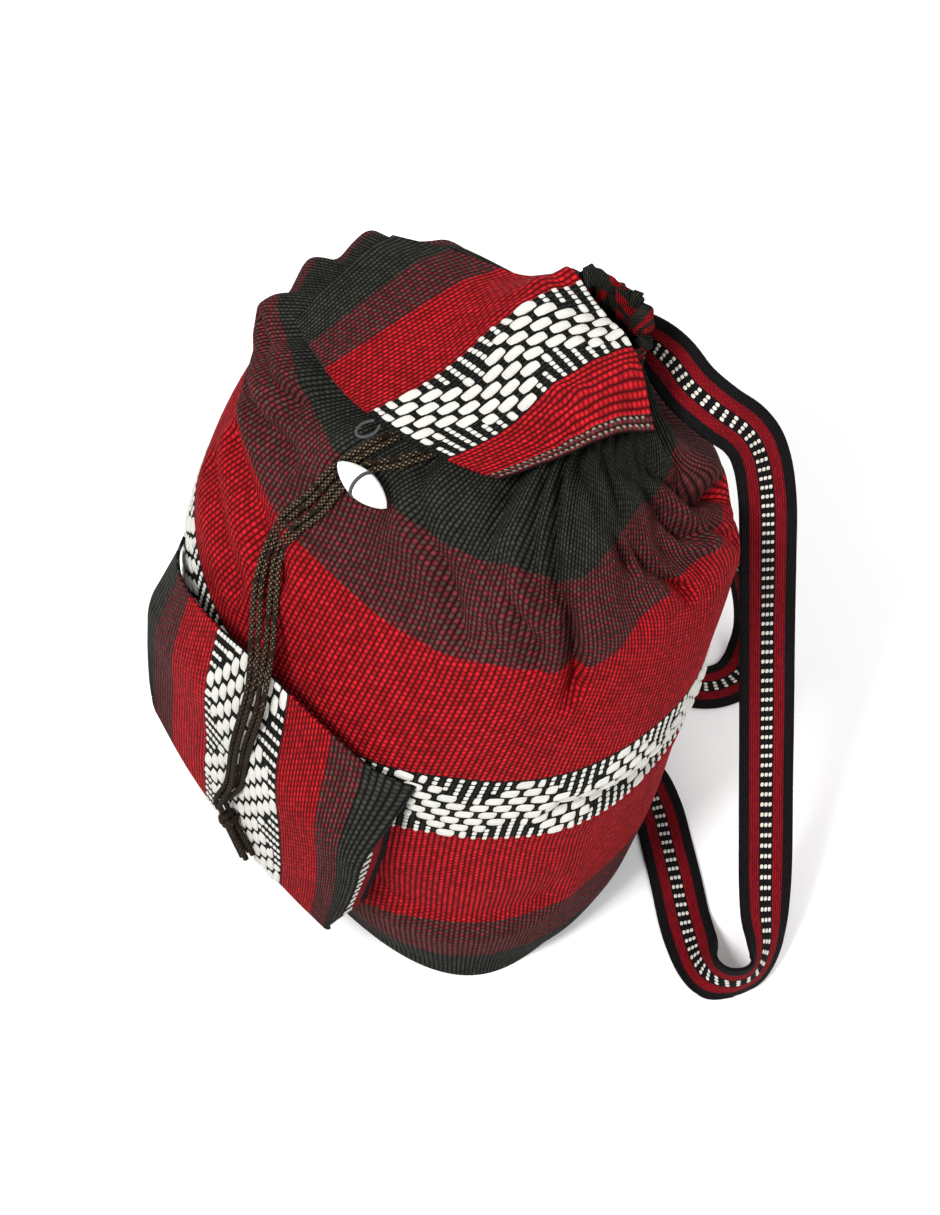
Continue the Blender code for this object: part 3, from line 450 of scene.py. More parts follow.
def make_body_cloth():
    columns, below, above = ((420, 170, 56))
    u = np.linspace(-math.pi, math.pi, columns, endpoint=False)
    t = np.linspace(0, NECK, below)
    tt, uu = np.meshgrid(t, u, indexing="ij")
    points = section_points(tt, uu)
    points[:, :, 2] = np.where(tt < 0.12, points[:, :, 2] + 0.0, points[:, :, 2])
    tilt = math.radians(SECTIONS[NECK][-1])
    up = np.array([0.0, -math.sin(tilt), math.cos(tilt)])
    neck = np.full(columns, float(NECK))
    back = (1 + np.sin(u)) / 2
    rise = RUFFLE_FRONT + (RUFFLE_BACK - RUFFLE_FRONT) * back
    rise *= 1.0 + 0.22 * np.sin(6 * u + 0.6)
    extra, places = [], []
    count_neck = above // 4
    for step in range(1, count_neck + 1):
        share = step / count_neck
        extra.append(section_points(neck, u) + up * NECK_HEIGHT * share)
        places.append(NECK + share)
    count_ruffle = above - count_neck
    for step in range(1, count_ruffle + 1):
        share = step / count_ruffle
        flared = section_points(neck, u, RUFFLE_FLARE * share ** 1.3)
        extra.append(flared + up * NECK_HEIGHT + np.outer(rise * share, up))
        places.append(NECK + 1 + share)
    hem = 5
    for step in range(1, hem + 1):
        share = step / hem
        flared = section_points(neck, u, RUFFLE_FLARE * (1 - 0.30 * share) - 0.0016 * min(1, share * 3))
        extra.append(flared + up * NECK_HEIGHT + np.outer(rise * (1 - 0.32 * share), up))
        places.append(NECK + 2 + share)
    points = np.concatenate([points, np.array(extra)])
    places = np.concatenate([t, places])
    uu = np.broadcast_to(u, points.shape[:2])
    tt = np.broadcast_to(places[:, None], points.shape[:2])
    outward = normals_of(points, True)
    share = np.where(tt < SHOULDER, (tt - 4.5) / 4.5, (1 + (tt - SHOULDER) * 4) / 9)
    late = smooth_step(1.6 * share - 0.6)
    depth = PLEAT_DEPTH * smooth_step(2.2 * share) * (1 - late) + NECK_PLEAT_DEPTH * late
    depth = np.where(tt < 4.5, 0.0, np.where(tt > NECK, NECK_PLEAT_DEPTH, depth))
    flare = np.clip(tt - NECK - 1, 0, 1)
    depth = np.where(tt > NECK + 1, NECK_PLEAT_DEPTH + (RUFFLE_WAVE - NECK_PLEAT_DEPTH) * flare, depth)
    offset = depth * np.cos(PLEATS * uu)
    fine = smooth_step((tt - 5.0) / 1.2) * (1 - 0.3 * flare)
    offset += fine * 0.0011 * np.sin(31 * uu + 1.2 * np.sin(3 * uu))
    offset += flare * 0.0014 * np.sin(23 * uu + 2.0 * np.sin(2 * uu) + 1.0)
    offset += flare * RUFFLE_LOBE * (1 + np.sin(uu)) / 2 * np.sin(6 * uu + 1.8)
    fold_room = smooth_step((NECK - 0.05 - tt) / 0.5)
    offset -= fold_depth(tt, uu)
    for line, width, deep in CREASES:
        shift = 2 * math.pi if max(a for a, _ in line) > 180 else 0.0
        angle = np.where(uu < 0, uu + shift, uu) if shift else uu
        offset += fold_room * crease(angle, np.minimum(tt, NECK), line, width, deep)
    calm = smooth_step(tt / 0.5) * fold_room
    lumps = (np.sin(2 * uu + 1.1 * tt) * np.sin(1.7 * tt + 0.4) + 0.6 * np.sin(5 * uu - 1.9 * tt + 2.0)
             + 0.4 * np.sin(9 * uu + 2.7 * tt) * np.sin(2.3 * tt))
    offset += calm * 0.0013 * lumps
    points = points + outward * offset[..., None]
    along = np.linalg.norm(np.diff(points, axis=0), axis=2).mean(axis=1)
    y = np.concatenate([[0], np.cumsum(along)])
    x = (u + math.pi) / (2 * math.pi) * AROUND
    return Cloth(points, x, y, closed_round=True), places


# White floats of the brocaded bands

def float_patches(cloth, centres, half_x, half_y, high, across=7, down=5, face=0.0):
    """Small padded floats that follow the cloth; each holds its centre in fabric coordinates."""
    a, b = np.meshgrid(np.linspace(-1, 1, across), np.linspace(-1, 1, down), indexing="xy")
    disc_a, disc_b = a * np.sqrt(1 - b * b / 6.0), b * np.sqrt(1 - a ** 4 / 3.2)
    lift = np.sqrt(np.clip(1 - a ** 6, 0, 1)) * np.sqrt(np.clip(1 - b * b, 0, 1))
    centres = np.asarray(centres, float)
    half_x, half_y = np.broadcast_to(half_x, len(centres)), np.broadcast_to(half_y, len(centres))
    x = centres[:, 0, None, None] + half_x[:, None, None] * disc_a
    y = centres[:, 1, None, None] + half_y[:, None, None] * disc_b
    points, out = cloth.at(x, y)
    points = points + out * (lift * high + face - 0.0002)[None, ..., None]
    return points, np.stack([x, y], -1)


def patches_object(name, sets, material, turned):
    points, faces, uvs, count = [], [], [], 0
    for grid, uv in sets:
        number, down, across = grid.shape[:3]
        r, c = np.meshgrid(np.arange(down - 1), np.arange(across - 1), indexing="ij")
        corner = np.stack([r * across + c, r * across + c + 1, (r + 1) * across + c + 1, (r + 1) * across + c], -1)
        corner = corner.reshape(-1, 4)
        if turned:
            corner = corner[:, ::-1]
        start = count + np.arange(number)[:, None, None] * down * across
        faces.append((corner[None] + start).reshape(-1, 4))
        flat = uv.reshape(number, -1, 2)
        uvs.append(flat[:, corner.reshape(-1)].reshape(-1, 2))
        points.append(grid.reshape(-1, 3))
        count += number * down * across
    return mesh_object(name, np.concatenate(points), np.concatenate(faces), material, np.concatenate(uvs))


def zigzag(length, width, rib=RIB, pick=PICK, start=0.0, repeat=20):
    """Cells of a brocaded band as (along, across): long floats and single stitches."""
    ribs, picks = int(length / rib), max(int(round(width / pick)), 4)
    picks += picks % 2
    pick = width / picks
    floats, stitches = [], []

    def zone(i, j):
        low = 6.4 - 0.75 * abs((i + repeat // 2) % repeat - repeat // 2)
        high = 6.4 - 0.75 * abs(i % repeat - repeat // 2)
        return j + 0.5 < low or picks - j - 0.5 < high

    for i in range(ribs):
        for j in range(picks):
            if zone(i, j) and i % 2 == 0:
                stitches.append((start + (i + 0.5) * rib, (j + 0.5) * pick))
    for pair in range(picks // 2):
        for i in range(-2, ribs + 2):
            if (i + 2 * (pair % 2)) % 4 == 0:
                spots = [k for k in (i, i + 1, i + 2) if not zone(k, 2 * pair + 0.5) and 0 <= k < ribs]
                if spots:
                    low, high = min(spots), max(spots) + 1
                    floats.append((start + (low + high) / 2 * rib, (pair + 0.5) * 2 * pick, (high - low) * rib / 2))
    return floats, stitches, pick


def band_dip(x):
    """How far the band sinks behind the pocket at fabric coordinate x."""
    off_front = np.cos(2 * math.pi * (x / AROUND - 0.25))
    return BAND_DIP * smooth_step((off_front - DIP_EDGE) / (1 - DIP_EDGE))


def brocade(name, cloth, length, width, along_axis, start, edge, turned, repeat=20, face=0.0):
    """White floats and stitches over one band of the cloth."""
    floats, stitches, pick = zigzag(length, width, start=start, repeat=repeat)
    rng = np.random.default_rng(7)
    sets = []
    for cells, single in ((floats, False), (stitches, True)):
        if not cells:
            continue
        cells = np.array(cells)
        along, across = cells[:, 0], cells[:, 1] + edge
        half_along = np.full(len(cells), RIB * 0.46) if single else cells[:, 2] + RIB * 0.14
        half_across = pick * (0.44 if single else 0.92)
        across = across + rng.normal(0, 0.00012, len(cells))
        high = 0.0010 if single else 0.0017
        if along_axis == "x":
            across = across - band_dip(along)
            grid = float_patches(cloth, np.stack([along, across], -1), half_along, half_across, high, face=face)
        else:
            grid = float_patches(cloth, np.stack([across, along], -1), half_across, half_along, high, face=face)
        sets.append(grid)
    return patches_object(name, sets, WHITE, turned)


# Flap

FLAP_ROOT_LEFT, FLAP_ROOT_RIGHT = (-0.110, 0.105), (0.092, 0.112)
FLAP_TIP_LEFT, FLAP_TIP_RIGHT = (-0.100, 0.030), (0.058, 0.038)
FLAP_ROOT_ROUND, FLAP_TIP_ROUND, FLAP_ROWS = 0.024, 0.018, 14
FLAP_CLEARANCE, FLAP_ROOT_CLEARANCE = 0.0066, 0.0012
FLAP_HUMP, FLAP_HUMP_REACH, FLAP_FALL = 0.022, 0.034, 0.25
FLAP_STRIPES = [("black", -0.080, -0.078, 4), ("mixed", -0.060, -0.046, 3), ("red", -0.021, 0.012, 6),
                ("white", 0.031, 0.061, 6), ("red", 0.052, 0.086, 4), ("mixed", 0.058, 0.094, 1)]
POCKET_TOP = [(-0.118, 0.168), (-0.062, 0.189), (-0.005, 0.200), (0.050, 0.195), (0.102, 0.175)]
POCKET_BOTTOM = [(-0.085, 0.078), (-0.020, 0.051), (0.042, 0.046), (0.090, 0.056)]
POCKET_LEFT = [(-0.118, 0.168), (-0.111, 0.120), (-0.085, 0.078)]
POCKET_RIGHT = [(0.102, 0.175), (0.100, 0.112), (0.090, 0.056)]
POCKET_MOUTH_GAP, POCKET_DEPTH_LEFT, POCKET_HOLLOW, POCKET_ROWS = 0.020, 0.024, 0.012, 14
POCKET_STRIPE_BOW = 0.065
POCKET_STRIPES = [("black", 0.120, 0.020, 3), ("mixed", 0.217, 0.120, 2), ("red", 0.365, 0.290, 3),
                  ("white", 0.635, 0.670, 6), ("red", 0.783, 0.870, 3), ("mixed", 0.880, 0.960, 2),
                  ("black", 1.000, 1.000, 3)]
SASH_WIDTH, SASH_THICK, GUSSET_THICK, GUSSET_INSET, GUSSET_START = 0.031, 0.0020, 0.0016, 0.007, 3
SEAM_GAP, FLOOR_GAP = 0.0004, 0.0002
CHECK_WIDTH = 0.0070
POCKET_SPAN, EDGE_ROLL, CORNER_PULL = (0.200, 0.125), (0.011, 0.0042), 0.009
CORD_DIAMETER, CORD_SPACING = 0.0032, 0.0040


def tree_of(node):
    mesh = NODES[node].data
    return BVHTree.FromPolygons([v.co for v in mesh.vertices], [p.vertices[:] for p in mesh.polygons])


BODY_TREE = tree_of("bag_body")
PANEL_TREE = tree_of("pocket_front")


def stripe_shares(edges, columns):
    shares, start = [0.0], 0.0
    for end, count in zip(edges, columns):
        shares += [start + (end - start) * (step + 1) / count for step in range(count)]
        start = end
    return shares


def cover_height(x, y):
    height, middle_x, middle_y = SECTIONS[NECK][:3]
    best = -1.0
    for shift_x in (-0.005, 0.0, 0.005):
        for shift_y in (-0.005, 0.0, 0.005):
            hit = BODY_TREE.ray_cast(Vector((x + shift_x, y + shift_y, 0.5)), Vector((0, 0, -1)))[0]
            if hit is not None:
                best = max(best, hit.z)
    distance = math.hypot(x - middle_x, y - middle_y)
    hump = height + FLAP_HUMP * math.exp(-(distance / FLAP_HUMP_REACH) ** 2)
    return max(best, hump - FLAP_FALL * distance)


def make_flap_grid():
    """The flap's mid surface on the part's own grid."""
    grid = []
    for row in range(FLAP_ROWS + 1):
        along = row / FLAP_ROWS
        edges = []
        for _, tip, root, _ in FLAP_STRIPES:
            at_tip = (tip - FLAP_TIP_LEFT[0]) / (FLAP_TIP_RIGHT[0] - FLAP_TIP_LEFT[0])
            at_root = (root - FLAP_ROOT_LEFT[0]) / (FLAP_ROOT_RIGHT[0] - FLAP_ROOT_LEFT[0])
            edges.append(at_root * (1 - along) + at_tip * along)
        line = []
        for across in stripe_shares(edges, [s[-1] for s in FLAP_STRIPES]):
            root = np.array(FLAP_ROOT_LEFT) * (1 - across) + np.array(FLAP_ROOT_RIGHT) * across
            tip = np.array(FLAP_TIP_LEFT) * (1 - across) + np.array(FLAP_TIP_RIGHT) * across
            bulge = np.array([0.0, 1 - (2 * across - 1) ** 2])
            root, tip = root + bulge * FLAP_ROOT_ROUND, tip - bulge * FLAP_TIP_ROUND
            x, y = root * (1 - along) + tip * along
            line.append((x, y, cover_height(x, y)))
        grid.append(line)
    grid = np.array(grid)
    raw = grid[:, :, 2].copy()
    rows, columns = raw.shape
    padded = np.pad(raw, 1, mode="edge")
    around = [padded[1 + i:rows + 1 + i, 1 + j:columns + 1 + j] for i in (-1, 0, 1) for j in (-1, 0, 1)]
    grid[:, :, 2] = np.max(around, axis=0)
    for _ in range(4):
        padded = np.pad(grid[:, :, 2], 1, mode="edge")
        grid[:, :, 2] = (padded[:-2, 1:-1] + padded[2:, 1:-1] + padded[1:-1, :-2] + padded[1:-1, 2:]) / 4
    grid[:, :, 2] = np.maximum(grid[:, :, 2], raw)
    clear = FLAP_ROOT_CLEARANCE + (FLAP_CLEARANCE - FLAP_ROOT_CLEARANCE) * smooth_step(4 * np.arange(rows) / FLAP_ROWS)
    grid[:, :, 2] += clear[:, None] + 0.001
    return grid


def refine(grid, rows, columns):
    """A finer grid through the same points."""
    grid = through(grid, np.linspace(0, len(grid) - 1, rows))
    return np.moveaxis(through(np.moveaxis(grid, 1, 0), np.linspace(0, grid.shape[1] - 1, columns)), 0, 1)


def widths_of(stripes, low, high):
    """Fabric x of each column edge and of each stripe's start, in metres."""
    edges = [(first + second) / 2 for _, first, second, _ in stripes]
    edges = [(edge - low) * high for edge in edges]
    return stripe_shares(edges, [s[-1] for s in stripes]), [0.0] + edges[:-1], edges[-1]


# Each stripe's yarn colour and its gap colour; the gap colour is partly painted shade
YARNS = {"black": (BLACK_YARN, BLACK_DEEP), "mixed": (MIXED_YARN, MIXED_DEEP), "red": (RED_YARN, RED_DEEP),
         "white": ((0.014, 0.014, 0.012), (0.002, 0.002, 0.002))}


def stripe_list(stripes, starts):
    return [(start, *YARNS[stripe[0]]) for start, stripe in zip(starts, stripes)]


def pocket_plan(across, down):
    def on(edge, share):
        return through(edge, np.array([share * (len(edge) - 1)]))[0]
    top, bottom = on(POCKET_TOP, across), on(POCKET_BOTTOM, across)
    left, right = on(POCKET_LEFT, down), on(POCKET_RIGHT, down)
    corners = ((1 - across) * (1 - down) * np.array(POCKET_TOP[0]) + across * (1 - down) * np.array(POCKET_TOP[-1])
               + (1 - across) * down * np.array(POCKET_BOTTOM[0]) + across * down * np.array(POCKET_BOTTOM[-1]))
    return (1 - down) * top + down * bottom + (1 - across) * left + across * right - corners


def front_of_bag(x, z):
    return BODY_TREE.ray_cast(Vector((x, -0.5, z)), Vector((0, 1, 0)))[0].y


def pocket_depth(across, down):
    middle = (1 - (2 * across - 1) ** 2) ** 0.7
    side = POCKET_DEPTH_LEFT * (1 - across) + SASH_WIDTH * across
    belly = POCKET_MOUTH_GAP + (side - POCKET_HOLLOW - POCKET_MOUTH_GAP) * smooth_step(down / 0.5)
    edge = side * smooth_step(down / 0.35)
    return edge * (1 - middle) + belly * middle + SEAM_GAP + GUSSET_THICK


def make_pocket_grid():
    grid = []
    for row in range(POCKET_ROWS + 1):
        down = row / POCKET_ROWS
        edges = [top * (1 - down) + bottom * down for _, top, bottom, _ in POCKET_STRIPES]
        edges = [edge + 16 * POCKET_STRIPE_BOW * down * (1 - down) * edge * (1 - edge) for edge in edges]
        line = []
        for across in stripe_shares(edges, [s[-1] for s in POCKET_STRIPES]):
            x, z = pocket_plan(across, down)
            line.append((x, front_of_bag(x, z) - float(pocket_depth(across, down)) - 0.0010, z))
        grid.append(line)
    return np.array(grid)


def soft_edges(grid):
    """The pocket's panel with its sides and bottom rolled back and its lower corners rounded."""
    down = np.linspace(0, 1, len(grid))[:, None]
    across = np.linspace(0, 1, grid.shape[1])[None, :]
    side = np.clip(1 - np.minimum(across, 1 - across) * POCKET_SPAN[0] / EDGE_ROLL[0], 0, 1)
    low = np.clip(1 - (1 - down) * POCKET_SPAN[1] / EDGE_ROLL[0], 0, 1)
    edge = np.maximum(side, low) * smooth_step(down * 4)
    inward = np.stack([0.5 - across + 0 * down, 0 * across + 0 * down, 1 - down + 0 * across + 0.4], -1)
    inward /= np.linalg.norm(inward, axis=2, keepdims=True)
    corner = (np.abs(2 * across - 1) ** 7) * down ** 6
    moved = grid + CORNER_PULL * corner[..., None] * inward
    moved[:, :, 1] += EDGE_ROLL[1] * edge ** 2
    swell = np.sin(math.pi * across) * np.sin(math.pi * np.clip(down * 1.05, 0, 1))
    moved[:, :, 1] -= 0.0014 * np.sin(9 * across + 5 * down) * swell
    return moved


def make_gusset_grid():
    rows, columns = POCKET_ROWS, sum(s[-1] for s in POCKET_STRIPES)
    total = 2 * rows + columns
    middle = np.mean(POCKET_BOTTOM + POCKET_TOP, axis=0)
    grid = []
    for step in range(GUSSET_START, total - GUSSET_START + 1):
        if step <= rows:
            place = (0.0, step / rows)
        elif step <= rows + columns:
            place = ((step - rows) / columns, 1.0)
        else:
            place = (1.0, 1 - (step - rows - columns) / rows)
        edge = np.array(pocket_plan(*place))
        inward = (middle - edge) / np.linalg.norm(middle - edge)
        skins, panels = [], []
        for shift in (-GUSSET_THICK, 0.0, GUSSET_THICK):
            x, z = edge + inward * (GUSSET_INSET + shift)
            skin = front_of_bag(x, z)
            skins.append(skin)
            panels.append(PANEL_TREE.ray_cast(Vector((x, skin, z)), Vector((0, -1, 0)))[0].y)
        x, z = edge + inward * GUSSET_INSET
        near, far = min(skins) - SEAM_GAP, max(panels) + SEAM_GAP
        grid.append([(x, near * (1 - share) + far * share, z) for share in (0.0, 0.5, 1.0)])
    return np.array(grid)


# Straps

def heel(x):
    _, _, _, wide, deep, square, _ = SECTIONS[BASE]
    near = abs(x) - SASH_WIDTH / 2
    return deep * (1 - (near / wide) ** square) ** (1 / square) + SEAM_GAP


def floor_run(points, side):
    line = np.array(points)
    along = np.gradient(line, axis=0)
    along /= np.linalg.norm(along, axis=1, keepdims=True)
    floor = SASH_THICK / 2 + FLOOR_GAP
    return [(x, y, floor) for x, y in points], [(-side * step[1], side * step[0], 0.0) for step in along]


def right_route():
    centre = [(0.024, 0.158, 0.318), (0.040, 0.160, 0.319), (0.058, 0.158, 0.320), (0.078, 0.153, 0.321),
              (0.097, 0.155, 0.318), (0.110, 0.163, 0.308), (0.118, 0.168, 0.291), (0.126, 0.169, 0.262),
              (0.136, 0.165, 0.222), (0.152, 0.156, 0.172), (0.180, 0.138, 0.100), (0.206, 0.118, 0.060),
              (0.227, 0.100, 0.036), (0.240, 0.089, 0.024), (0.2465, 0.079, 0.0185), (0.2475, 0.069, 0.0170),
              (0.243, 0.060, 0.0165), (0.233, 0.0555, 0.0140), (0.219, 0.0585, 0.0080), (0.204, 0.0665, 0.0030)]
    slanted, sideways = (0.05, -0.89, -0.45), (-0.643, -0.766, 0.0)
    across = [(0.15, 0.05, -0.99), (0.10, -0.40, -0.91), (0.05, -0.80, -0.60), slanted]
    across += [(0.0, -0.90, -0.40), (-0.20, -0.90, -0.35), (-0.45, -0.86, -0.18)]
    across += [sideways] * 5 + [(-0.58, -0.69, 0.43), (-0.40, -0.48, 0.78), (-0.20, -0.24, 0.95)]
    across += [(0.0, 0.0, 1.0), (0.05, 0.10, 0.99), (0.15, 0.35, 0.92), (0.32, 0.65, 0.69), (0.42, 0.86, 0.28)]
    low, low_across = floor_run([(0.188, 0.0755), (0.168, 0.0880), (0.146, 0.1010), (0.124, 0.1135),
                                 (0.102, 0.1210), (0.085, 0.1170), (0.0755, 0.1020),
                                 (0.073, 0.0880), (0.073, heel(0.073))], -1.0)
    return centre + low, across + low_across


def left_route():
    centre = [(0.004, 0.157, 0.318), (-0.012, 0.167, 0.316), (-0.024, 0.178, 0.303), (-0.030, 0.187, 0.279),
              (-0.028, 0.194, 0.242), (-0.012, 0.206, 0.198), (0.015, 0.222, 0.148), (0.042, 0.236, 0.095),
              (0.062, 0.243, 0.048), (0.074, 0.240, 0.018)]
    across = [(0.80, 0.60, -0.10), (0.80, 0.55, 0.10), (0.90, 0.30, 0.10)] + [(1.0, 0.0, 0.0)] * 7
    low, low_across = floor_run([(0.081, 0.229), (0.084, 0.215), (0.079, 0.200), (0.066, 0.188),
                                 (0.045, 0.178), (0.015, 0.168), (-0.015, 0.157), (-0.038, 0.144),
                                 (-0.058, 0.127), (-0.073, 0.104), (-0.075, 0.088), (-0.075, heel(0.075))], 1.0)
    return centre + low, across + low_across


def strap_cloth(route):
    centre, across = route
    steps = 420
    places = np.linspace(0, len(centre) - 1, steps)
    line, turn = through(centre, places), through(across, places)
    along = np.gradient(line, axis=0)
    along /= np.linalg.norm(along, axis=1, keepdims=True)
    turn -= along * (turn * along).sum(axis=1, keepdims=True)
    turn /= np.linalg.norm(turn, axis=1, keepdims=True)
    x = np.linspace(-0.5, 0.5, 13) * SASH_WIDTH
    grid = line[:, None] + turn[:, None] * x[None, :, None]
    length = np.concatenate([[0], np.cumsum(np.linalg.norm(np.diff(line, axis=0), axis=1))])
    out = np.cross(turn, along)
    cup = 0.0009 * np.sin(length / 0.021)[:, None] * (1 - (x[None] / (SASH_WIDTH / 2)) ** 2)
    lifted = np.clip((line[:, 2] - 0.012) / 0.02, 0, 1)[:, None]
    grid = grid + out[:, None] * (cup * lifted)[..., None]
    grid[:, :, 2] = np.maximum(grid[:, :, 2], SASH_THICK / 2 + FLOOR_GAP)
    return Cloth(grid, x, length)


def checks(name, cloth, both=True):
    """White chequered stitches down the middle of a band, three to a row."""
    rows = int(cloth.y[-1] / 0.0062)
    sets = []
    for side in ((1, -1) if both else (1,)):
        centres = [((column - 1) * 0.0023, (row + 0.5) * 0.0062)
                   for row in range(rows) for column in range(3)]
        grid, uv = float_patches(cloth, centres, 0.00122, 0.00160, 0.0006, 4, 4)
        base, out = cloth.at(uv[..., 0], uv[..., 1])
        height = ((grid - base) * out).sum(-1)
        grid = base + out * (side * (height + SASH_THICK / 2))[..., None]
        sets.append((grid if side > 0 else grid[:, :, ::-1], uv))
    return patches_object(name, sets, CHECK_WHITE, False)


# Cords

CORD_LEFT = [(0.018, 0.072, 0.3240), (0.008, 0.054, 0.3168), (-0.002, 0.034, 0.3104), (-0.008, 0.019, 0.3052),
             (-0.014, 0.0055, 0.2986), (-0.0215, -0.0076, 0.2867), (-0.030, -0.0178, 0.2655),
             (-0.0405, -0.0274, 0.2453), (-0.0429, -0.0380, 0.2277), (-0.0355, -0.0524, 0.2136),
             (-0.0159, -0.0703, 0.2060), (0.0035, -0.0872, 0.2015), (0.0095, -0.0964, 0.1900),
             (0.0107, -0.1086, 0.1600), (0.0083, -0.1142, 0.1250)]
CORD_RIGHT = [(0.034, 0.072, 0.3228), (0.026, 0.054, 0.3142), (0.016, 0.034, 0.3072), (0.005, 0.016, 0.3010),
              (-0.0068, 0.0036, 0.2943), (-0.0145, -0.0085, 0.2822), (-0.0215, -0.018, 0.2618),
              (-0.0315, -0.0296, 0.2434), (-0.0334, -0.0397, 0.2273), (-0.0231, -0.0519, 0.2142),
              (-0.0037, -0.0700, 0.2060), (0.0128, -0.0869, 0.2020), (0.0187, -0.0955, 0.1900),
              (0.0166, -0.1051, 0.1600), (0.0125, -0.1103, 0.1250)]
KNOT_PLACE = (0.008, -0.1180, 0.091)
KNOT_TAIL_WAY = (0.46, 0.04, -0.88)
KNOT_TOP, STRAND_END_GAP, STRAND_ARRIVAL = 0.0065, 0.0018, 0.009
TAIL_LENGTH = 0.024
# A tube's end closes to this share of its radius
TUBE_END = 0.02


def knot_frame():
    up = -Vector(KNOT_TAIL_WAY).normalized()
    return Vector(KNOT_PLACE), up, Vector((1, 0, 0)).cross(up).normalized()


def strand_route(bundle, side, out_side):
    middle, up, out = knot_frame()
    end = middle + up * (KNOT_TOP + STRAND_END_GAP) + out * out_side * CORD_SPACING / 2
    line = np.array(bundle + [tuple(end + Vector((0, 0, STRAND_ARRIVAL))), tuple(end)])
    along = np.gradient(line, axis=0)
    outward = np.cross(along, (1.0, 0.0, 0.0))
    sideways = np.cross(along, outward)
    sideways /= np.linalg.norm(sideways, axis=1, keepdims=True)
    return line + sideways * side * CORD_SPACING / 2


def tube_grid(line, radius, sides=12):
    """Rings of a tube along a line, with their coordinates round and along."""
    along = np.gradient(line, axis=0)
    along /= np.linalg.norm(along, axis=1, keepdims=True)
    side = np.cross(along[0], (0.0, 0.3, 1.0))
    side /= np.linalg.norm(side)
    rings = []
    angles = np.linspace(0, 2 * math.pi, sides, endpoint=False)
    radius = np.broadcast_to(radius, len(line))
    for point, way, r in zip(line, along, radius):
        side = side - way * (side @ way)
        side /= np.linalg.norm(side)
        other = np.cross(way, side)
        rings.append(point + r * (np.cos(angles)[:, None] * side + np.sin(angles)[:, None] * other))
    length = np.concatenate([[0], np.cumsum(np.linalg.norm(np.diff(line, axis=0), axis=1))])
    start, end = (line[row] + (rings[row] - line[row]) * TUBE_END for row in (0, -1))
    return np.array([start] + rings + [end]), np.concatenate([[0], length, length[-1:]])


def tube_object(name, lines, radius, material, sides=12):
    points, faces, uvs, count = [], [], [], 0
    for line in lines:
        grid, length = tube_grid(np.asarray(line), radius, sides)
        rows = len(grid)
        r, c = np.meshgrid(np.arange(rows - 1), np.arange(sides), indexing="ij")
        right = (c + 1) % sides
        faces.append(np.stack([r * sides + c, r * sides + right, (r + 1) * sides + right, (r + 1) * sides + c],
                              -1).reshape(-1, 4) + count)
        uvs.append(np.stack([np.stack([c / sides, length[r]], -1), np.stack([(c + 1) / sides, length[r]], -1),
                             np.stack([(c + 1) / sides, length[r + 1]], -1), np.stack([c / sides, length[r + 1]], -1)],
                            -2).reshape(-1, 2))
        points.append(grid.reshape(-1, 3))
        count += rows * sides
    return mesh_object(name, np.concatenate(points), np.concatenate(faces), material, np.concatenate(uvs))


def finer(route, count):
    return through(route, np.linspace(0, len(route) - 1, count))


# Build

WHITE = yarn("white_yarn", WHITE_YARN)
CHECK_WHITE = yarn("white_check", (0.56, 0.54, 0.48), 0.15)
HEM_THREAD = yarn("hem_thread", (0.20, 0.19, 0.15), 0.3)
SASH = sash_cloth("woven_sash")
BRAID = braid("braided_cord", (0.014, 0.009, 0.006), (0.190, 0.140, 0.080))

body_cloth, places = make_body_cloth()
total = body_cloth.y[-1]


def height_of(place):
    return float(np.interp(place, places, body_cloth.y))


body_stripes = [(0.0, *YARNS["black"]), (height_of(1), *YARNS["mixed"]), (height_of(2), *YARNS["red"]),
                (height_of(3), *YARNS["white"]), (height_of(4), *YARNS["red"]), (height_of(5), *YARNS["mixed"]),
                (height_of(6), *YARNS["black"]), (height_of(8.0), *YARNS["red"]), (height_of(8.45), *YARNS["black"]),
                (height_of(8.62), *YARNS["red"]), (height_of(8.95), *YARNS["black"])]
body_drawn = [(0.012, 180, 0.55, height_of(BAND_HIGH), height_of(SHOULDER)),
              (-0.024, 12, 0.72, height_of(BAND_HIGH), height_of(5.6)),
              (BAND_DIP, -90, DIP_EDGE, 0.0, height_of(RED))]
body = cloth_object("cloth_body", body_cloth, woven("woven_body", body_stripes, total, "y",
                                                  drawn=body_drawn))
body_band = brocade("floats_body", body_cloth, AROUND, height_of(BAND_HIGH) - height_of(BAND_LOW), "x",
                    0.0, height_of(BAND_LOW), False)

flap_grid = make_flap_grid()
flap_columns, flap_starts, flap_total = widths_of(FLAP_STRIPES, (FLAP_TIP_LEFT[0] + FLAP_ROOT_LEFT[0]) / 2, 1.0)
rows, columns = ((110, 190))
flap_points = refine(flap_grid, rows, columns)
flap_x = np.interp(np.linspace(0, len(flap_columns) - 1, columns), np.arange(len(flap_columns)), flap_columns)
flap_y = np.concatenate([[0], np.cumsum(np.linalg.norm(np.diff(flap_points, axis=0), axis=2).mean(axis=1))])
flap_cloth = Cloth(flap_points, flap_x, flap_y, turned=True)
flap = cloth_object("cloth_flap", flap_cloth, woven("woven_flap", stripe_list(FLAP_STRIPES, flap_starts),
                                                    flap_total, "x", wide=0.0027, high=RIB), 0.0020, 0.0)
flap_band = brocade("floats_flap", flap_cloth, flap_y[-1], flap_starts[4] - flap_starts[3], "y", 0.0,
                    flap_starts[3], True, face=0.0010)

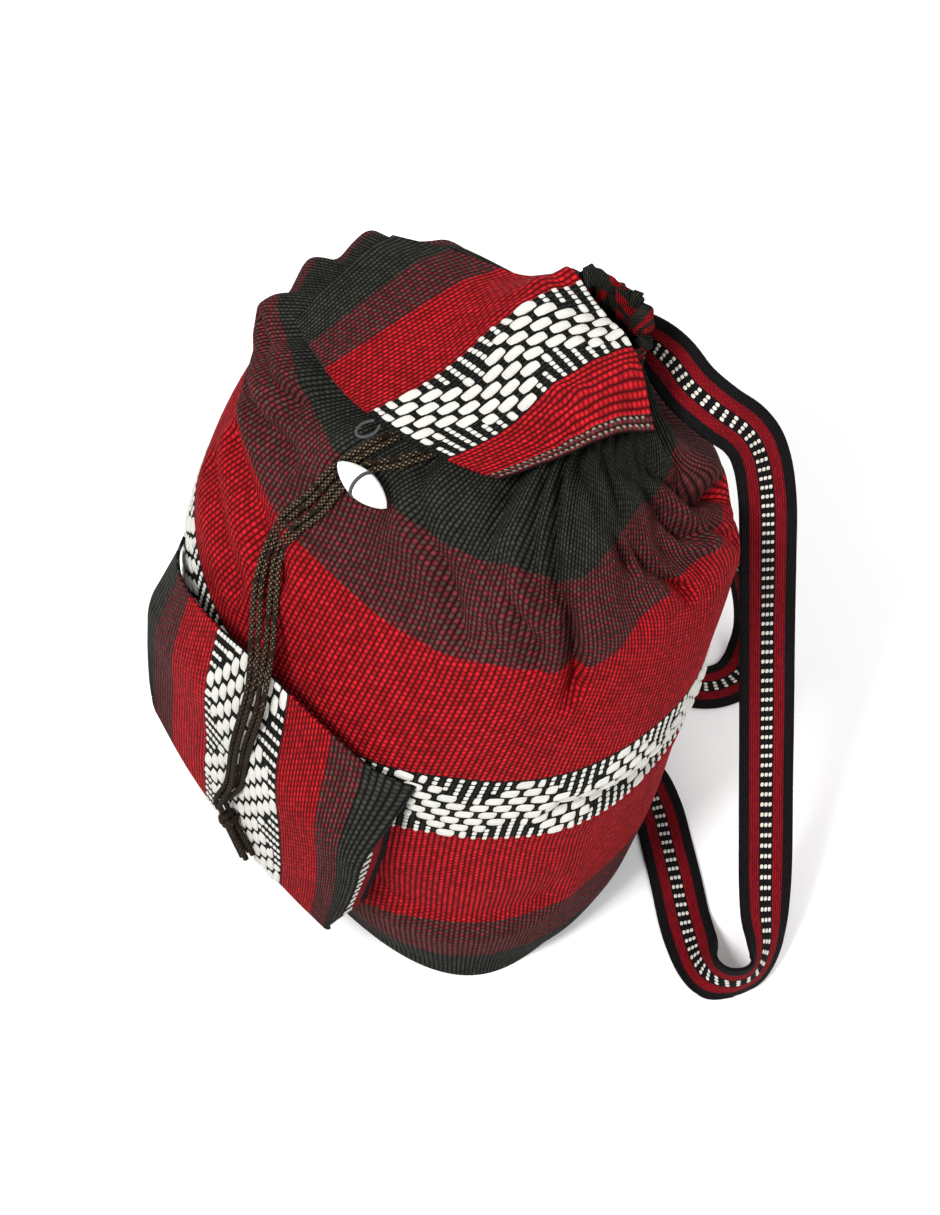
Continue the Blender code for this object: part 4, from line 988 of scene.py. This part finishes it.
hem_places = np.arange(0.004, flap_y[-1] - 0.004, 0.0041)
hem_rows = [(flap_total - 0.0022, place) for place in hem_places] + [(flap_total - 0.0052, place + 0.002)
                                                                    for place in hem_places]
flap_hem = patches_object("hem_flap", [float_patches(flap_cloth, hem_rows, 0.0007, 0.0013, 0.0007, 4, 4, 0.0010)],
                          HEM_THREAD, True)

pocket_grid = make_pocket_grid()
pocket_columns, pocket_starts, pocket_total = widths_of(POCKET_STRIPES, 0.0, 0.225)
rows, columns = ((110, 190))
pocket_points = soft_edges(refine(pocket_grid, rows, columns))
pocket_x = np.interp(np.linspace(0, len(pocket_columns) - 1, columns), np.arange(len(pocket_columns)), pocket_columns)
pocket_y = np.concatenate([[0], np.cumsum(np.linalg.norm(np.diff(pocket_points, axis=0), axis=2).mean(axis=1))])
pocket_cloth = Cloth(pocket_points, pocket_x, pocket_y, turned=True)
pocket = cloth_object("cloth_pocket", pocket_cloth,
                      woven("woven_pocket", stripe_list(POCKET_STRIPES, pocket_starts), pocket_total, "x",
                            wide=0.0027, high=RIB), 0.0020, 0.0)
pocket_band = brocade("floats_pocket", pocket_cloth, pocket_y[-1], pocket_starts[4] - pocket_starts[3], "y",
                      0.0, pocket_starts[3], True, face=0.0010)

gusset_points = refine(make_gusset_grid(), 220, 9)
gusset_y = np.concatenate([[0], np.cumsum(np.linalg.norm(np.diff(gusset_points[:, 4], axis=0), axis=1))])
gusset_cloth = Cloth(gusset_points, np.linspace(-0.5, 0.5, 9) * SASH_WIDTH, gusset_y)
gusset = cloth_object("sash_gusset", gusset_cloth, SASH, GUSSET_THICK, 0.0)
gusset_checks = checks("checks_gusset", gusset_cloth)

right_cloth, left_cloth = strap_cloth(right_route()), strap_cloth(left_route())
right_strap = cloth_object("sash_right", right_cloth, SASH, SASH_THICK, 0.0)
left_strap = cloth_object("sash_left", left_cloth, SASH, SASH_THICK, 0.0)
right_checks, left_checks = checks("checks_right", right_cloth), checks("checks_left", left_cloth)

strands = []
for number, (bundle, side, out_side) in enumerate(((CORD_LEFT, 1, 1), (CORD_LEFT, -1, 1),
                                                   (CORD_RIGHT, 1, -1), (CORD_RIGHT, -1, -1))):
    line = finer(strand_route(bundle, side, out_side), 260)
    strands.append((tube_object(f"cord_{number + 1}", [line], CORD_DIAMETER / 2, BRAID), line))

neck = SECTIONS[NECK]
tilt = math.radians(neck[-1])
ring_middle = np.array([neck[1], neck[2], neck[0]]) + 0.0062 * np.array([0, -math.sin(tilt), math.cos(tilt)])
ring_radius = neck[3] + NECK_PLEAT_DEPTH + 0.0018 + SEAM_GAP
turn = np.linspace(0, 2 * math.pi, 120)
ring_line = ring_middle + ring_radius * np.stack([np.cos(turn), np.sin(turn) * math.cos(tilt),
                                                  np.sin(turn) * math.sin(tilt)], -1)
ring = tube_object("cord_ring", [ring_line], 0.0018, BRAID)

middle, up, out = knot_frame()
middle, up, out = np.array(middle), np.array(up), np.array(out)
side = np.cross(up, out)
wraps = []
for lift, lean, reach in ((0.0026, 0.35, 0.0036), (-0.0002, -0.30, 0.0040), (-0.0032, 0.25, 0.0035)):
    spin = np.linspace(0, 2 * math.pi, 40)
    flat = reach * (np.cos(spin)[:, None] * side + np.sin(spin)[:, None] * out)
    wraps.append(middle + up * lift + flat + up * (lean * reach * np.cos(spin))[:, None])
for dx, dy in ((0.0019, 0.0019), (-0.0019, 0.0019), (0.0019, -0.0019), (-0.0019, -0.0019)):
    reach = np.linspace(0.0, 1.0, 30)[:, None]
    spread = 1.0 + 0.25 * reach
    wraps.append(middle + up * (0.003 - reach * (TAIL_LENGTH + 0.008)) + (side * dx + out * dy) * spread)
knot = tube_object("cord_knot", wraps, 0.0017, BRAID, 10)

loop_node = NODES["flap_loop"]
loop = loop_node

# Finishes for the pieces that stay as they are
plastic = Shader("polished_toggle")
plastic.finish((0.86, 0.86, 0.84), plastic.soft_noise(300.0), rough=0.22, depth=0.00005, strength=0.3, sheen=0.0)
plastic.surface.inputs["Specular IOR Level"].default_value = 0.5
thread = Shader("dark_thread")
thread.finish((0.055, 0.058, 0.060), thread.soft_noise(900.0), depth=0.0002)
base_cloth = Shader("base_cloth")
base_cloth.finish(BLACK_YARN, base_cloth.soft_noise(600.0), depth=0.0004)
for node, shader in (("toggle", plastic), ("toggle_tie", thread), ("flap_loop", thread), ("base_panel", base_cloth)):
    NODES[node].data.materials.clear()
    NODES[node].data.materials.append(shader.material)

# Bodies, and hiding the part pieces that the new pieces stand for
bag_pieces = [body, body_band, flap, flap_band, flap_hem, pocket, pocket_band, gusset, gusset_checks, right_strap,
              right_checks, left_strap, left_checks, ring, knot] + [strand for strand, _ in strands]
for piece in bag_pieces:
    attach(piece, "bag")
for piece, nodes in ((body, ["bag_body"]), (flap, ["top_flap"]), (pocket, ["pocket_front"]),
                     (gusset, ["pocket_gusset"]), (right_strap, ["shoulder_strap_right"]),
                     (left_strap, ["shoulder_strap_left"]), (ring, ["drawcord_ring"]), (knot, ["drawcord_knot"])):
    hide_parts(*nodes)
for number, (strand, _) in enumerate(strands):
    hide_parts(f"drawcord_strand_{number + 1}")


# Camera, floor and light

CAMERA_PLACE, CAMERA_ANGLE = (0.6405, -0.4696, 1.2717), (36.0, 0.0, 50.0)
camera_data = bpy.data.cameras.new("camera")
camera_data.sensor_fit = "VERTICAL"
camera_data.sensor_height = 36.0
camera_data.lens = 71.7
camera_data.clip_end = 20.0
camera = link("camera", camera_data)
camera.location = CAMERA_PLACE
camera.rotation_euler = [math.radians(angle) for angle in CAMERA_ANGLE]
bpy.context.scene.camera = camera

floor_shader = Shader("pale_floor")
floor_shader.finish((0.93, 0.93, 0.93), None, rough=0.95, sheen=0.0)
floor = mesh_object("floor", [(-6, -6, 0), (6, -6, 0), (6, 6, 0), (-6, 6, 0)], [(0, 1, 2, 3)], floor_shader.material)


def lamp(name, place, size, power, colour=(1, 1, 1)):
    data = bpy.data.lights.new(name, "AREA")
    data.shape = "DISK"
    data.size = size
    data.energy = power
    data.color = colour
    made = link(name, data)
    made.location = place
    made.rotation_euler = (Vector((0.03, 0.06, 0.15)) - Vector(place)).to_track_quat("-Z", "Y").to_euler()
    return made


lamp("key", (0.25, -1.25, 1.75), 0.6, 42.0)
lamp("fill", (1.6, 0.4, 1.2), 1.4, 14.0)
lamp("top", (-0.6, 0.6, 2.2), 1.6, 16.0)
world = bpy.data.worlds.new("world")
bpy.context.scene.world = world
world.use_nodes = True
back = world.node_tree.nodes["Background"]
back.inputs["Color"].default_value = (1.0, 1.0, 1.0, 1.0)
back.inputs["Strength"].default_value = 0.68
bpy.context.scene.view_settings.view_transform = "Standard"
